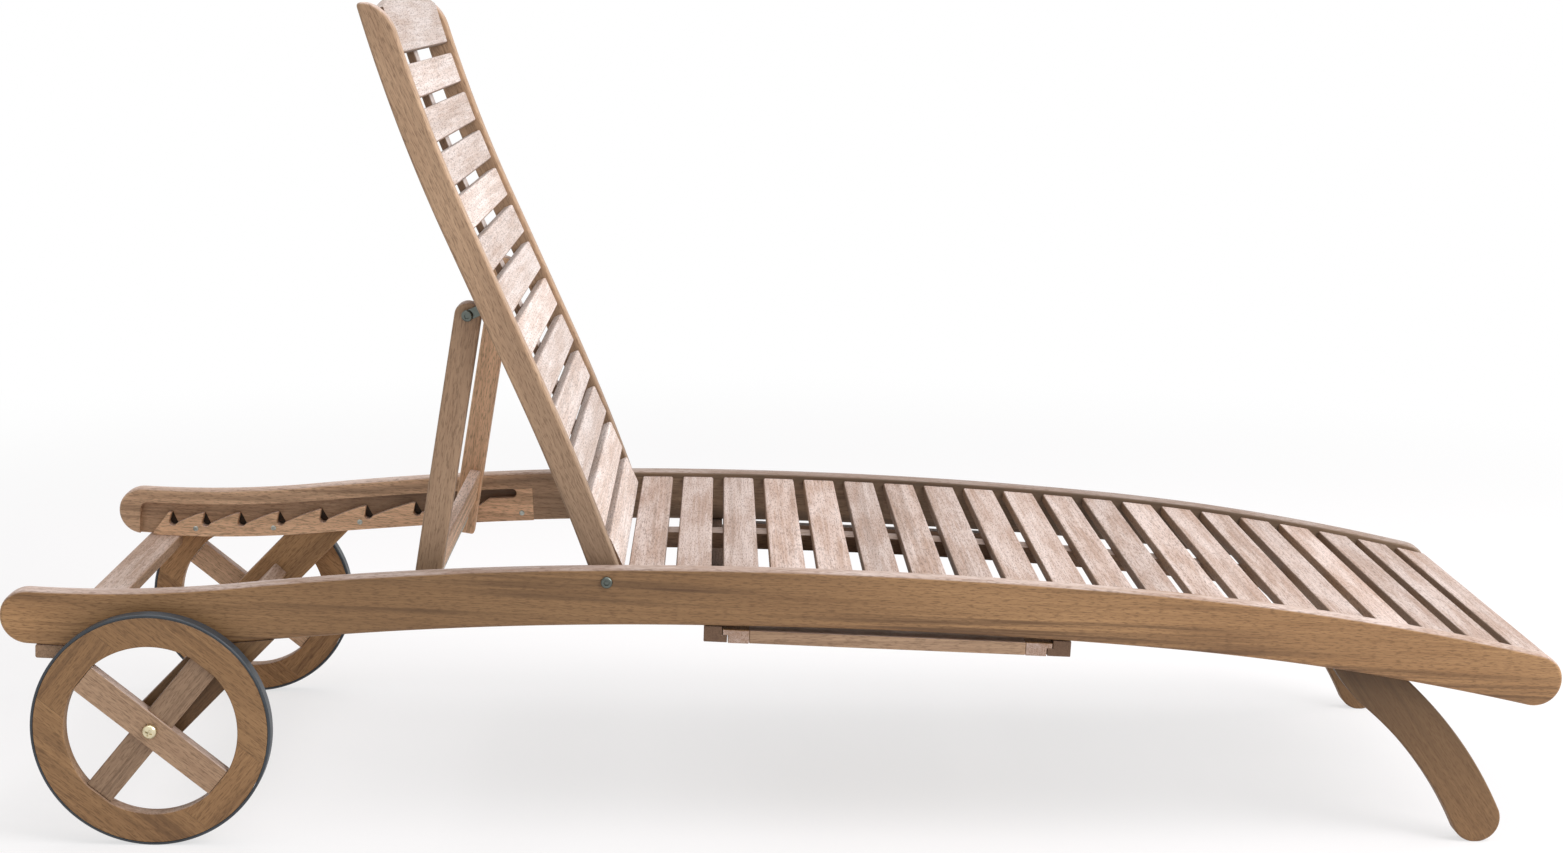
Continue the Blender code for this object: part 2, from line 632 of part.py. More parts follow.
def make_axle():
    """Steel axle through both back legs, with a collar inside each wheel, and its domed cap nuts."""
    end = WHEEL_OUTER + CAP_HEIGHT - CAP_WALL - GAP
    collar = [WHEEL_INNER - GAP, RAIL_MIDDLE + BACK_LEG_THICK / 2 + GAP]
    upper = [(0.0, end), (AXLE_RADIUS, end), (AXLE_RADIUS, collar[0]), (COLLAR_RADIUS, collar[0]),
             (COLLAR_RADIUS, collar[1]), (AXLE_RADIUS, collar[1])]
    lower = [(radius, -out) for radius, out in reversed(upper)]
    turned("axle", upper + lower, WHEEL_STEPS // 2, (WHEEL_X, 0.0, WHEEL_RADIUS), 1, STEEL)
    seat = AXLE_RADIUS + GAP
    shoulder = CAP_HEIGHT * 0.4
    dome = [(CAP_RADIUS * math.sin(a), shoulder + (CAP_HEIGHT - shoulder) * math.cos(a))
            for a in spread(0.0, math.pi / 2, 5)]
    cap = dome + [(CAP_RADIUS, GAP), (seat, GAP), (seat, CAP_HEIGHT - CAP_WALL), (0.0, CAP_HEIGHT - CAP_WALL)]
    for side_name, side in SIDES:
        face = (WHEEL_X, side * WHEEL_OUTER, WHEEL_RADIUS)
        turned("axle_cap_nut_" + side_name, cap, WHEEL_STEPS // 2, face, side, BRASSED_STEEL)


def make_wheels():
    """Two wheels: wooden rim, a cross of two lapped spokes and a rubber tyre."""
    rim_outer = WHEEL_RADIUS - TYRE_THICK
    rim_inner = rim_outer - RIM_WIDTH
    half = WHEEL_THICK / 2
    for side_name, side in SIDES:
        middle = (WHEEL_X, side * (WHEEL_INNER + half), WHEEL_RADIUS)
        hub = axis_empty("wheel_axis_" + side_name, middle)
        here = (0.0, 0.0, 0.0)
        name = "wheel_%s_" + side_name
        rim = ring_profile(rim_inner, rim_outer, -half, half, GAP)
        turned(name % "rim", rim, WHEEL_STEPS, here, side, WHEEL_WOOD, hub)
        tyre = ring_profile(rim_outer + GAP, WHEEL_RADIUS, -half, half, TYRE_THICK / 3)
        turned(name % "tyre", tyre, WHEEL_STEPS, here, side, RUBBER, hub)
        inside = turned(name % "inside_cut", [(0.0, half), (rim_inner - GAP, half),
                                              (rim_inner - GAP, -half), (0.0, -half)],
                        WHEEL_STEPS, here, side, parent=hub, cutter=True)
        hole = bore(name % "bore_cut", AXLE_RADIUS + RUN, here, WHEEL_THICK * 2, WHEEL_STEPS // 2, hub)
        size = (2 * rim_outer, SPOKE_THICK, SPOKE_WIDTH)
        spokes = block(name % "spokes", size, (0.0, side * SPOKE_SHIFT, 0.0), WHEEL_WOOD, edge=0.0,
                       lean=-SPOKE_ANGLE, parent=hub)
        cross = block(name % "cross_spoke", size, (0.0, -side * SPOKE_SHIFT, 0.0), edge=0.0,
                      lean=-SPOKE_ANGLE - 90.0, parent=hub, cutter=True)
        cut(spokes, cross, "UNION")
        cut(spokes, inside, "INTERSECT")
        cut(spokes, hole)


def stile_line(up):
    """Middle line of a stile: its place ahead of the hinge axis, and its slope."""
    top = max(0.0, up - STILE_TOP_BEND)
    foot = max(0.0, STILE_FOOT_BEND - up)
    ahead = STILE_AHEAD + top ** 2 / (2 * STILE_TOP_RADIUS) - foot ** 2 / (2 * STILE_FOOT_RADIUS)
    return ahead, top / STILE_TOP_RADIUS + foot / STILE_FOOT_RADIUS


def stile_point(up, out):
    """A point a given distance ahead of a stile's middle line, square to it."""
    ahead, slope = stile_line(up)
    long = math.hypot(1.0, slope)
    return (ahead + out / long, up - out * slope / long)


def stile_outline():
    """A stile in the backrest's own frame: bent forward at the top and back to the hinge at the foot."""
    half = STILE_WIDTH / 2
    ups = spread(0.0, STILE_FOOT_BEND, STILE_STATIONS)
    ups += spread(STILE_TOP_BEND, STILE_HEIGHT, STILE_STATIONS)
    rear = [stile_point(up, -half) for up in ups]
    shoulder = []
    for turn in spread(0.0, math.pi / 2, STILE_STATIONS)[1:]:
        drop = STILE_SHOULDER * (1 - math.cos(turn))
        shoulder.append(stile_point(STILE_HEIGHT - drop, STILE_WIDTH * math.sin(turn) - half))
    shoulder_foot = STILE_HEIGHT - STILE_SHOULDER
    front = [stile_point(up, half) for up in reversed(ups) if up < shoulder_foot - STILE_SHOULDER / 2]
    ahead, slope = stile_line(0.0)
    tilt = -math.atan(slope)
    heel = arc((ahead, 0.0), half, tilt, tilt - math.pi, ROUND_STEPS)
    return rear + shoulder + front + heel[1:-1]


def slat_face(up):
    """Front of the back slats at a height, ahead of the hinge axis, and its slope: straight, then bent."""
    ahead, slope = stile_line(max(up, STILE_FOOT_BEND))
    return ahead + STILE_WIDTH / 2 - BACK_SLAT_RECESS, slope


def back_board_place(up):
    """Middle and lean in degrees of a back slat or of the head board at a height."""
    ahead, slope = slat_face(up)
    turn = math.atan(slope)
    drop = BACK_SLAT_THICK / 2
    return (ahead - drop * math.cos(turn), 0.0, up + drop * math.sin(turn)), math.degrees(turn)


def back_batten_outline(board_foot):
    """The batten behind the back slats: let into them, and set back where it runs on behind the head board."""
    foot = BACK_SLAT_START + BACK_SLAT_WIDTH / 2
    ups = [foot] + spread(STILE_TOP_BEND, board_foot - SLAT_LET_IN, BATTEN_STATIONS)
    top = board_foot + BATTEN_OVERLAP
    front = SLAT_LET_IN - BACK_SLAT_THICK
    behind = -BACK_SLAT_THICK - 2 * GAP
    rear = front - BACK_BATTEN_THICK

    def point(up, out):
        ahead, slope = slat_face(up)
        long = math.hypot(1.0, slope)
        return (ahead + out / long, up - out * slope / long)

    return ([point(up, rear) for up in ups + [top]] + [point(top, behind), point(ups[-1], behind)]
            + [point(up, front) for up in reversed(ups)])


def make_backrest(hinge):
    """Stiles, slats, head board and batten, in the frame of the hinge empty."""
    length = 2 * (STILE_INNER - GAP)
    for side_name, side in SIDES:
        low, high = sorted((side * STILE_INNER, side * STILE_OUTER))
        stile = plate("back_stile_" + side_name, stile_outline(), low, high, RAIL_WOOD, BOARD_EDGE, hinge)
        hole = bore("stile_hole_" + side_name, BOLT_RADIUS + RUN, (0.0, (low + high) / 2, 0.0),
                    STILE_THICK * 2, parent=hinge)
        cut(stile, hole)
    board_foot = BACK_SLAT_START + BACK_SLATS * BACK_SLAT_PITCH
    make_head_board(hinge, board_foot, length)
    # The slats and the batten behind them are one panel, which slides in between the stiles.
    panel = plate("back_slat_panel", back_batten_outline(board_foot), BACK_BATTEN_Y - BACK_BATTEN_WIDTH / 2,
                  BACK_BATTEN_Y + BACK_BATTEN_WIDTH / 2, SLAT_WOOD, 0.0, hinge)
    for i in range(BACK_SLATS):
        place, lean = back_board_place(BACK_SLAT_START + BACK_SLAT_WIDTH / 2 + i * BACK_SLAT_PITCH)
        slat = block("back_slat_%02d" % (i + 1), (BACK_SLAT_THICK, length, BACK_SLAT_WIDTH), place, lean=lean,
                     parent=hinge, cutter=True)
        cut(panel, slat, "UNION")


def make_head_board(hinge, foot, length):
    """The arched board at the top of the backrest, drawn flat and then stood up between the stiles."""
    half = length / 2
    low = -HEAD_BOARD_HEIGHT / 2
    top = HEAD_BOARD_HEIGHT / 2
    arch = [(y, top + HEAD_BOARD_RISE * (1 - (y / half) ** 2)) for y in spread(half, -half, 17)]
    outline = [(-half, low), (half, low)] + arch
    board = plate("head_board", outline, -BACK_SLAT_THICK / 2, BACK_SLAT_THICK / 2, SLAT_WOOD, 0.0, hinge)
    # Drawn along X with its thickness along Y, so a quarter turn about Z sets it across the backrest.
    board.data.transform(Matrix(((0, 1, 0, 0), (-1, 0, 0, 0), (0, 0, 1, 0), (0, 0, 0, 1))))
    place, lean = back_board_place(foot + HEAD_BOARD_HEIGHT / 2)
    board.location = place
    board.rotation_euler = (0.0, math.radians(lean), 0.0)


def make_hinge_bolts():
    """The two bolts that join the stiles to the rails."""
    grip = RAIL_THICK + STILE_PLAY + STILE_THICK
    for side_name, side in SIDES:
        turned("hinge_bolt_" + side_name, bolt_profile(grip), BOLT_STEPS,
               (HINGE_X, side * WIDTH / 2, HINGE_Z), side, STEEL)


def make_brackets(hinge):
    """Steel brackets on the stiles' inner faces, and the bolts on which the prop turns."""
    far = slat_face(PIVOT_UP)[0] - BACK_SLAT_THICK - BRACKET_PLAY - BRACKET_RADIUS
    quarter = math.pi / 2
    outline = (arc((-PIVOT_BEHIND, PIVOT_UP), BRACKET_RADIUS, quarter, 3 * quarter, ROUND_STEPS // 2)
               + arc((far, PIVOT_UP), BRACKET_RADIUS, -quarter, quarter, ROUND_STEPS // 2))
    grip = BRACKET_THICK + GAP + PROP_THICK
    for side_name, side in SIDES:
        low, high = sorted((side * BRACKET_INNER, side * (BRACKET_INNER + BRACKET_THICK)))
        bracket = plate("prop_bracket_" + side_name, outline, low, high, STEEL, 0.0, hinge)
        pivot = (-PIVOT_BEHIND, side * (BRACKET_INNER + BRACKET_THICK), PIVOT_UP)
        cut(bracket, bore("bracket_hole_" + side_name, BOLT_RADIUS + GAP, pivot, STILE_THICK, parent=hinge))
        turned("prop_pivot_bolt_" + side_name, bolt_profile(grip), BOLT_STEPS, pivot, side, STEEL, hinge)


def make_prop(pivot):
    """Prop legs, stretcher and rod, in the frame of the pivot empty, hanging along -Z."""
    half = PROP_WIDTH / 2
    quarter = math.pi / 2
    length = prop_length()
    foot = -length - PROP_TAIL
    outline = arc((0.0, 0.0), half, 0.0, 2 * quarter, ROUND_STEPS) + [(-half, foot), (half, foot)]
    for side_name, side in SIDES:
        low, high = sorted((side * PROP_INNER, side * PROP_OUTER))
        leg = plate("prop_leg_" + side_name, outline, low, high, RAIL_WOOD, 0.0, pivot)
        middle = (low + high) / 2
        cut(leg, bore("prop_hole_" + side_name, BOLT_RADIUS + RUN, (0.0, middle, 0.0), PROP_THICK * 2,
                      parent=pivot))
        cut(leg, bore("rod_hole_" + side_name, ROD_RADIUS + GAP, (0.0, middle, -length), PROP_THICK * 2,
                      parent=pivot))
    block("prop_stretcher", (STRETCHER_THICK, 2 * (PROP_INNER - GAP), STRETCHER_HEIGHT),
          (STRETCHER_AHEAD, 0.0, STRETCHER_UP - length), SLAT_WOOD, parent=pivot)
    end = RAIL_INNER - ROD_END_PLAY
    rod = [(0.0, end), (ROD_RADIUS, end), (ROD_RADIUS, -end), (0.0, -end)]
    turned("prop_rod", rod, BOLT_STEPS, (0.0, 0.0, -length), 1, STEEL, pivot)


def tray_frame():
    """An empty under the rails, level with the line that joins the two runners."""
    head = TRAY_X - TRAY_SPAN / 2
    foot = TRAY_X + TRAY_SPAN / 2
    slope = math.atan2(rail_bottom(foot) - rail_bottom(head), TRAY_SPAN)
    # The rail is bowed between the runners, so they are set down until their outer corners clear it.
    reach = TRAY_SPAN / 2 + RUNNER_WIDTH / 2
    middle = (rail_bottom(head) + rail_bottom(foot)) / 2
    clear = min(rail_bottom(TRAY_X + side * reach) - middle - side * reach * math.tan(slope) for side in (-1, 1))
    height = middle + min(0.0, clear) - 2 * GAP
    return axis_empty("tray_axis", (TRAY_X, 0.0, height), -math.degrees(slope))


def runner_outline(side):
    """Section of a runner with a lip towards the tray; side is -1 at the head end and 1 at the foot end."""
    outer = side * (TRAY_SPAN / 2 + RUNNER_WIDTH / 2)
    inner = side * (TRAY_SPAN / 2 - RUNNER_WIDTH / 2)
    lip = inner - side * RUNNER_LIP
    step = RUNNER_LIP_HEIGHT - RUNNER_HEIGHT
    return [(outer, 0.0), (inner, 0.0), (inner, step), (lip, step), (lip, -RUNNER_HEIGHT), (outer, -RUNNER_HEIGHT)]


def make_tray(frame):
    """Two runners under the rails, the stop between their far ends, and the tray that hangs on their lips."""
    reach = WIDTH / 2 - RUNNER_INSET
    near = -reach
    far = near + TRAY_LENGTH
    inner = TRAY_SPAN / 2 - RUNNER_WIDTH / 2
    seat = RUNNER_LIP_HEIGHT - RUNNER_HEIGHT + GAP
    low = -TRAY_DROP - RUNNER_HEIGHT
    top = low + TRAY_THICK
    for end_name, side in (("head", -1), ("foot", 1)):
        plate("tray_runner_" + end_name, runner_outline(side), -reach, reach, RAIL_WOOD, 0.0, frame)
        outer = side * (inner - TRAY_PLAY)
        step = side * (inner - RUNNER_LIP - TRAY_PLAY)
        inside = outer - side * TRAY_SIDE_WIDTH
        outline = [(outer, top), (inside, top), (inside, low), (step, low), (step, seat), (outer, seat)]
        plate("tray_side_" + end_name, outline, near, far, SLAT_WOOD, 0.0, frame)
    stop_height = RUNNER_HEIGHT - TRAY_STOP_DROP
    block("tray_stop", (2 * (inner - RUNNER_LIP - GAP), TRAY_STOP, stop_height),
          (0.0, reach - TRAY_STOP / 2, stop_height / 2 - RUNNER_HEIGHT), RAIL_WOOD, edge=0.0, parent=frame)
    span = 2 * (inner - TRAY_PLAY - TRAY_SIDE_WIDTH - GAP)
    pitch = (TRAY_LENGTH + TRAY_BOARD_GAP) / TRAY_BOARDS
    panel = block("tray_panel", (span, TRAY_LENGTH, TRAY_BOARD_THICK),
                  (0.0, (near + far) / 2, top - TRAY_BOARD_THICK / 2), SLAT_WOOD, edge=0.0, parent=frame)
    for i in range(1, TRAY_BOARDS):
        groove = block("tray_groove_%d" % i, (2 * span, TRAY_BOARD_GAP, 2 * TRAY_GROOVE_DEPTH),
                       (0.0, near + i * pitch - TRAY_BOARD_GAP / 2, top), edge=0.0, parent=frame, cutter=True)
        cut(panel, groove)


def main():
    """Builds the lounger."""
    start_scene()
    make_rails()
    make_racks()
    make_seat()
    make_legs()
    make_cross_pieces()
    make_axle()
    make_wheels()
    make_hinge_bolts()
    hinge = axis_empty("back_hinge_axis", (HINGE_X, 0.0, HINGE_Z), -BACK_LEAN)
    make_backrest(hinge)
    make_brackets(hinge)
    pivot = axis_empty("prop_pivot_axis", (-PIVOT_BEHIND, 0.0, PIVOT_UP), BACK_LEAN + PROP_LEAN, hinge)
    make_prop(pivot)
    make_tray(tray_frame())
    bpy.context.view_layer.update()


main()
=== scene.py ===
"""Looks of the folding wooden sun lounger: boards with rounded edges, built-up wheels and steel fittings."""

from math import asin, atan, atan2, copysign, cos, inf, pi, radians, sin, sqrt

import bpy
import numpy as np
from mathutils import Matrix, Vector


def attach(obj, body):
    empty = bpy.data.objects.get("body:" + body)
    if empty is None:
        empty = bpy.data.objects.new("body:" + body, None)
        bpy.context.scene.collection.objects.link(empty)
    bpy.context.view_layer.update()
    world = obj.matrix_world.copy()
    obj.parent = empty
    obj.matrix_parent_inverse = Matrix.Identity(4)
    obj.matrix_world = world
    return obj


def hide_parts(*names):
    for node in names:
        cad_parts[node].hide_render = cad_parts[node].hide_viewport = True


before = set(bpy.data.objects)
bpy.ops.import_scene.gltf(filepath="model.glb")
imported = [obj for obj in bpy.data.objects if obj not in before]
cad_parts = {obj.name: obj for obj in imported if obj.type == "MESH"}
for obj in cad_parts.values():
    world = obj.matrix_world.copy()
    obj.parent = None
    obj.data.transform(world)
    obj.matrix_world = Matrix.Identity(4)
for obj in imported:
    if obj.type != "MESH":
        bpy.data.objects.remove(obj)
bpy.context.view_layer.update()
scene = bpy.context.scene

# Sizes of the lounger: lengths in metres, angles in radians, and counts and shares. A bend of the rail has
# its start, as a share of the length, and its radius.
GAP = 0.0003
LENGTH = 2.000
WIDTH = 0.650
HEAD_END = -LENGTH / 2
FOOT_END = LENGTH / 2
RAIL_THICK = 0.025
RAIL_DEPTH = 0.0743
RAIL_HEAD_DEPTH = 0.0705
RAIL_FOOT_DEPTH = 0.069
RAIL_HEAD_TOP = 0.329
RAIL_HEAD_SLOPE = -0.075
RAIL_BENDS = ((0.0, 1.667), (0.150, -5.14), (0.425, -7.47), (0.750, -3.52))
HEAD_TAPER = 0.200
FOOT_TAPER = 0.550
RAIL_INNER = WIDTH / 2 - RAIL_THICK
RAIL_MIDDLE = WIDTH / 2 - RAIL_THICK / 2
REBATE_DEPTH = 0.012
REBATE_HEAD = 0.034
REBATE_FOOT = 0.625
REBATE_CORNER = 0.012
RACK_HEAD = 0.054
CHANNEL_FOOT = 0.600
LIP_RISE = 0.050
PEAK_RISE = 0.036
FLOOR_RISE = 0.015
NOTCHES = 8
NOTCH_PITCH = 0.082
NOTCH_SHRINK = 0.915
NOTCH_WIDTH = 0.012
FIRST_RAMP = 2.5 * NOTCH_WIDTH
TOOTH_FLAT = 0.004
TOOTH_TOE = 0.004
TOOTH_HOOK = 0.004
RAMP_BOW = 0.25
POCKET_DEPTH = 0.006
RACK_STEP = 0.012
RACK_SCREWS = (0.1155, 0.229, 0.3578, 0.6066)
RACK_SCREW_RISE = 0.012

HINGE_X = HEAD_END + 0.7674
HINGE_Z = 0.3433
BACK_LEAN = radians(24.3)
STILE_THICK = 0.025
STILE_PLAY = 0.003
STILE_WIDTH = 0.036
STILE_AHEAD = 0.0095
STILE_TOP_BEND = 0.480
STILE_TOP_RADIUS = 2.13
STILE_FOOT_BEND = 0.260
STILE_FOOT_RADIUS = 3.2
STILE_HEIGHT = 0.781
STILE_SHOULDER = 0.048
STILE_FRONT_TOP = STILE_HEIGHT - 1.3 * STILE_SHOULDER
STILE_TIP = 0.006
STILE_OUTER = RAIL_INNER - STILE_PLAY
STILE_INNER = STILE_OUTER - STILE_THICK
BACK_SLATS = 12
BACK_SLAT_START = -0.004
BACK_SLAT_PITCH = 0.0592
BACK_SLAT_WIDTH = 0.045
BACK_SLAT_RECESS = 0.0065
BACK_SLAT_THICK = 0.015
BACK_BATTEN_WIDTH = 0.036
BACK_BATTEN_THICK = 0.011
BACK_BATTEN_Y = 0.012
BATTEN_OVERLAP = 0.030
HEAD_BOARD_HEIGHT = 0.061
HEAD_BOARD_RISE = 0.018

PIVOT_UP = 0.376
PIVOT_BEHIND = 0.027
PROP_LEAN = radians(9.0)
PROP_WIDTH = 0.034
PROP_THICK = 0.022
PROP_TAIL = 0.024
PROP_CORNERS = (0.001, 0.004, 0.004, 0.001)
ROD_RADIUS = 0.005
ROD_EASE = ROD_RADIUS / 5
ROD_END_PLAY = 0.001
ROD_TRIES = 8
STRETCHER_HEIGHT = 0.046
STRETCHER_THICK = 0.016
STRETCHER_UP = 0.052
STRETCHER_AHEAD = 0.005
BRACKET_THICK = 0.003
BRACKET_RADIUS = 0.0065
BRACKET_PLAY = 0.001
BRACKET_INNER = STILE_INNER - GAP - BRACKET_THICK
PROP_OUTER = BRACKET_INNER - GAP
PROP_INNER = PROP_OUTER - PROP_THICK

SEAT_SLATS = 20
SEAT_START = HINGE_X + 0.0256
SEAT_SLAT_WIDTH = 0.046
SEAT_SLAT_THICK = 0.014
SEAT_SLAT_SINK = 0.008
SEAT_END = 0.001

FRONT_LEG_WIDTH = 0.063
FRONT_LEG_THICK = 0.025
FRONT_LEG_SET_IN = 0.0165
LEG_LAP = 0.035
FRONT_LEG_FOOT_X = FOOT_END - 0.0945
FRONT_LEG_TOP_X = FRONT_LEG_FOOT_X - 0.1706
FRONT_LEG_SAG = 0.0175
FRONT_LEG_BEND_ANGLE = radians(50.0)
FRONT_LEG_BACK_BEND = 0.180
FRONT_LEG_BACK_TURN = 0.55
FOOT_FLAT = radians(7.5)
BACK_LEG_WIDTH = 0.064
BACK_LEG_THICK = 0.022
BACK_LEG_ANGLE = radians(46.0)
LEG_REACH = 0.300
AXLE_BEAM_THICK = 0.024
AXLE_BEAM_WIDTH = 0.058
AXLE_BEAM_UP = 0.045
HEAD_BAR_WIDTH = 0.048
HEAD_BAR_X = HEAD_END + 0.043 + HEAD_BAR_WIDTH / 2
HEAD_BAR_THICK = 0.018
HEAD_BAR_INSET = 0.003

WHEEL_RADIUS = 0.1515
WHEEL_X = HEAD_END + 0.1925
HUB = (WHEEL_X, WHEEL_RADIUS)
TYRE_THICK = 0.004
RIM_OUTER = WHEEL_RADIUS - TYRE_THICK
RIM_INNER = RIM_OUTER - 0.038
RIM_JOINT = 0.056
JOINT_SLIT = 0.00012
WHEEL_THICK = 0.021
WHEEL_INNER = WIDTH / 2 + 0.008
WHEEL_OUTER = WHEEL_INNER + WHEEL_THICK
SPOKE_WIDTH = 0.038
SPOKE_THICK = 0.017
SPOKE_SHIFT = 0.0015
SPOKE_ANGLE = radians(-39.2)
SPOKE_REACH = sqrt(RIM_INNER ** 2 - (SPOKE_WIDTH / 2) ** 2)
AXLE_RADIUS = 0.006
COLLAR_RADIUS = 0.011
CAP_RADIUS = 0.0095
CAP_HEIGHT = 0.009
CAP_WAIST = 0.35 * CAP_HEIGHT
CROSS_REACH = 0.0046
CROSS_WIDTH = 0.0019
CROSS_DEPTH = 0.0034
CROSS_TURN = 0.4
BOLT_RADIUS = 0.004
BOLT_HEAD_RADIUS = 0.0075
BOLT_HEAD_THICK = 0.004
NUT_RADIUS = 0.0055
NUT_THICK = 0.005
SCREW_RADIUS = 0.0018
SCREW_HEAD_RADIUS = 0.004
SCREW_HEAD_THICK = 0.0016
SCREW_SHANK = 0.004
SCREW_TIP = 0.005
SIDES = (("right", -1), ("left", 1))
QUARTER = pi / 2

# Radii of rounded edges; those of a section start at its lower inner corner
RAIL_EDGE = 0.0055
STILE_EDGE = 0.0035
SEAT_SLAT_EDGE = 0.0032
BAR_EDGE = 0.003
THIN_EDGE = 0.0025
SPOKE_CORNER = 0.0012
SPOKE_EDGE = 0.0011
PLATE_EDGE = 0.0007
RACK_EDGE = 0.0006
RIM_EDGES = (0.0016, 0.0008, 0.0008, 0.0016)
TYRE_EDGES = (0.0004, 0.0026, 0.0026, 0.0004)
SOLID_EDGE = 0.0010

# Steps and limits of the meshes
SHARP_ANGLE = radians(40.0)
WELD = 0.00001
TINY = 1e-9
LEAST_DIVISOR = 0.35
CORNER_STEPS = 4
SOLID_STEPS = 2
SHORT_RIM_ROWS = 50
LONG_RIM_ROWS = 90

# Button head of a bolt: its socket and its dome, as shares of the head's radius and thickness
SOCKET_RADIUS = 0.54
SOCKET_FLOOR = 0.20
SOCKET_BRIM = 0.97
SOCKET_FLARE = 1.12
HEAD_DOME = ((0.72, 0.93), (0.90, 0.76), (0.98, 0.52), (1.0, 0.30))

# The camera, and the photograph's frame in pixels
EYE = (-0.0938, -3.3365, 1.0989)
EYE_YAW = 0.0265
EYE_PITCH = 0.1812
EYE_ROLL = 0.0159
FOCAL_PIXELS = 2439.1
FRAME_PIXELS = 1563

# Sides of a board drawn paler: bleaching, and partly painted light where they face the lamps
UP = (0.0, 0.0, 1.0)
NEAR = (0.0, -1.0, 0.0)
BACK_FACE = (0.45, 0.0, 0.89)

# White that the floor shows to the camera over its own shade, and the light of the surroundings
FLOOR_HAZE = 0.68
FLOOR_FADE = (1.3, 3.6)
FLOOR_REACH = 14.0
AMBIENT = 0.38
LAMPS = (("key", (2.6, -1.6, 3.0), 2.2, 120.0), ("top", (-0.5, 0.2, 3.3), 3.0, 60.0),
         ("foot", (3.4, 0.4, 1.7), 2.0, 45.0))

# Each board takes its figure from another place in the wood, and each bar its own tone
figure = np.random.default_rng(seed=20)
FIGURE_SPAN = (-9.0, 9.0)
BAR_TONES = (0.70, 1.18)


# Shader maths

class Value:
    """One output socket of a node; sums, differences and products add Math nodes to its tree."""

    def __init__(self, look, socket):
        self.look = look
        self.socket = socket

    def maths(self, operation, first, second):
        """A Math node on two values or numbers."""
        return self.look.node("Math", {0: first, 1: second}, operation=operation)

    def __add__(self, other):
        return self.maths("ADD", self, other)

    __radd__ = __add__

    def __sub__(self, other):
        return self.maths("SUBTRACT", self, other)

    def __rsub__(self, other):
        return self.maths("SUBTRACT", other, self)

    def __mul__(self, other):
        return self.maths("MULTIPLY", self, other)

    __rmul__ = __mul__

    def between(self, low, high):
        """A smooth step from 0 at low to 1 at high."""
        return self.look.node("MapRange", {"Value": self, "From Min": low, "From Max": high},
                              interpolation_type="SMOOTHSTEP")


class Look:
    """A material or a world, written as expressions."""

    def __init__(self, owner):
        self.owner = owner
        owner.use_nodes = True
        self.tree = owner.node_tree
        self.tree.nodes.clear()

    def node(self, kind, sockets=None, out=0, **settings):
        """Adds a node: first its settings, then its sockets' values or links; gives one output."""
        made = self.tree.nodes.new("ShaderNode" + kind)
        for key, value in settings.items():
            setattr(made, key, value)
        for key, value in (sockets or {}).items():
            if isinstance(value, Value):
                self.tree.links.new(value.socket, made.inputs[key])
            else:
                made.inputs[key].default_value = value
        return Value(self, made.outputs[out]) if made.outputs else None

    def place(self):
        """The object's own coordinates."""
        return self.node("TexCoord", out=3)

    def noise(self, vector, scale, detail=2.0, roughness=0.5, distortion=0.0):
        """Fractal noise from 0 to 1."""
        return self.node("TexNoise", {"Vector": vector, "Scale": scale, "Detail": detail,
                                      "Roughness": roughness, "Distortion": distortion})

    def figured(self, place, along, across, *kind):
        """Noise with one density along the grain and another across it."""
        density = (along, across, across)
        return self.noise(self.node("VectorMath", {0: place, 1: density}, operation="MULTIPLY"), 1.0, *kind)

    def mix(self, share, first, second):
        """One colour to another by a share."""
        return self.node("Mix", {0: share, 6: first, 7: second}, out=2, data_type="RGBA")

    def scaled(self, shade, factor):
        """A colour times a factor."""
        return self.node("VectorMath", {0: shade, "Scale": factor}, operation="SCALE")

    def bump(self, height, strength, distance):
        """A normal that follows a height."""
        return self.node("Bump", {"Strength": strength, "Distance": distance, "Height": height})

    def surface(self, sockets):
        """Ends the material in a Principled shader."""
        self.end(self.node("BsdfPrincipled", sockets))
        return self.owner

    def seen(self):
        """1 for a camera, mirrored or refracted ray, and 0 for a ray that only lights."""
        kinds = ("Camera", "Glossy", "Transmission")
        rays = [self.node("LightPath", out="Is %s Ray" % kind) for kind in kinds]
        return rays[0].maths("MAXIMUM", rays[0].maths("MAXIMUM", *rays[:2]), rays[2])

    def end(self, shader, kind="Material"):
        """Links a shader to the output."""
        self.node("Output" + kind, {"Surface": shader})


def colours(*tints):
    """Colours with their alpha."""
    return [(*tint, 1.0) for tint in tints]


# Noises of the wood: density along and across the grain per metre, then detail, roughness and distortion
DRIFT = (2.4, 9.0)
GATHER = (2.0, 20.0)
BANDS = (1.3, 85.0, 3.0, 0.6, 0.9)
LINES = (6.0, 300.0, 3.0, 0.65, 0.3)
PORES = (90.0, 620.0, 2.0, 0.6)
CLOUDS = (5.0, 34.0, 4.0, 0.6)

# Steps that sharpen those noises, the pale side (bleaching, partly painted light) and the end grain, and the
# share of each in the result
EVEN_STEP = (0.30, 0.70)
GATHER_STEP = (0.42, 0.62)
BAND_STEP = (0.42, 0.68)
PORE_STEP = (0.47, 0.67)
CLOUD_STEP = (0.36, 0.66)
BLEACH_AND_LIGHT_STEP = (0.30, 0.72)
END_STEP = (0.55, 0.85)
STRAY_BANDS = 0.15
DRIFT_SHARE = 0.5
CLOUD_SHARE = 0.55
PALE_FACE_BANDS = 0.55
PALE_FACE_TONE = 0.5
PORE_SHADE = 0.50
LINE_ROUGHNESS = 0.16
PORE_ROUGHNESS = 0.06
LINE_HEIGHT = 0.5
PORE_DEPTH = 0.8
BAND_DEPTH = 0.2
WOOD_BUMP = (0.18, 0.0006)
WOOD_IOR = 1.45


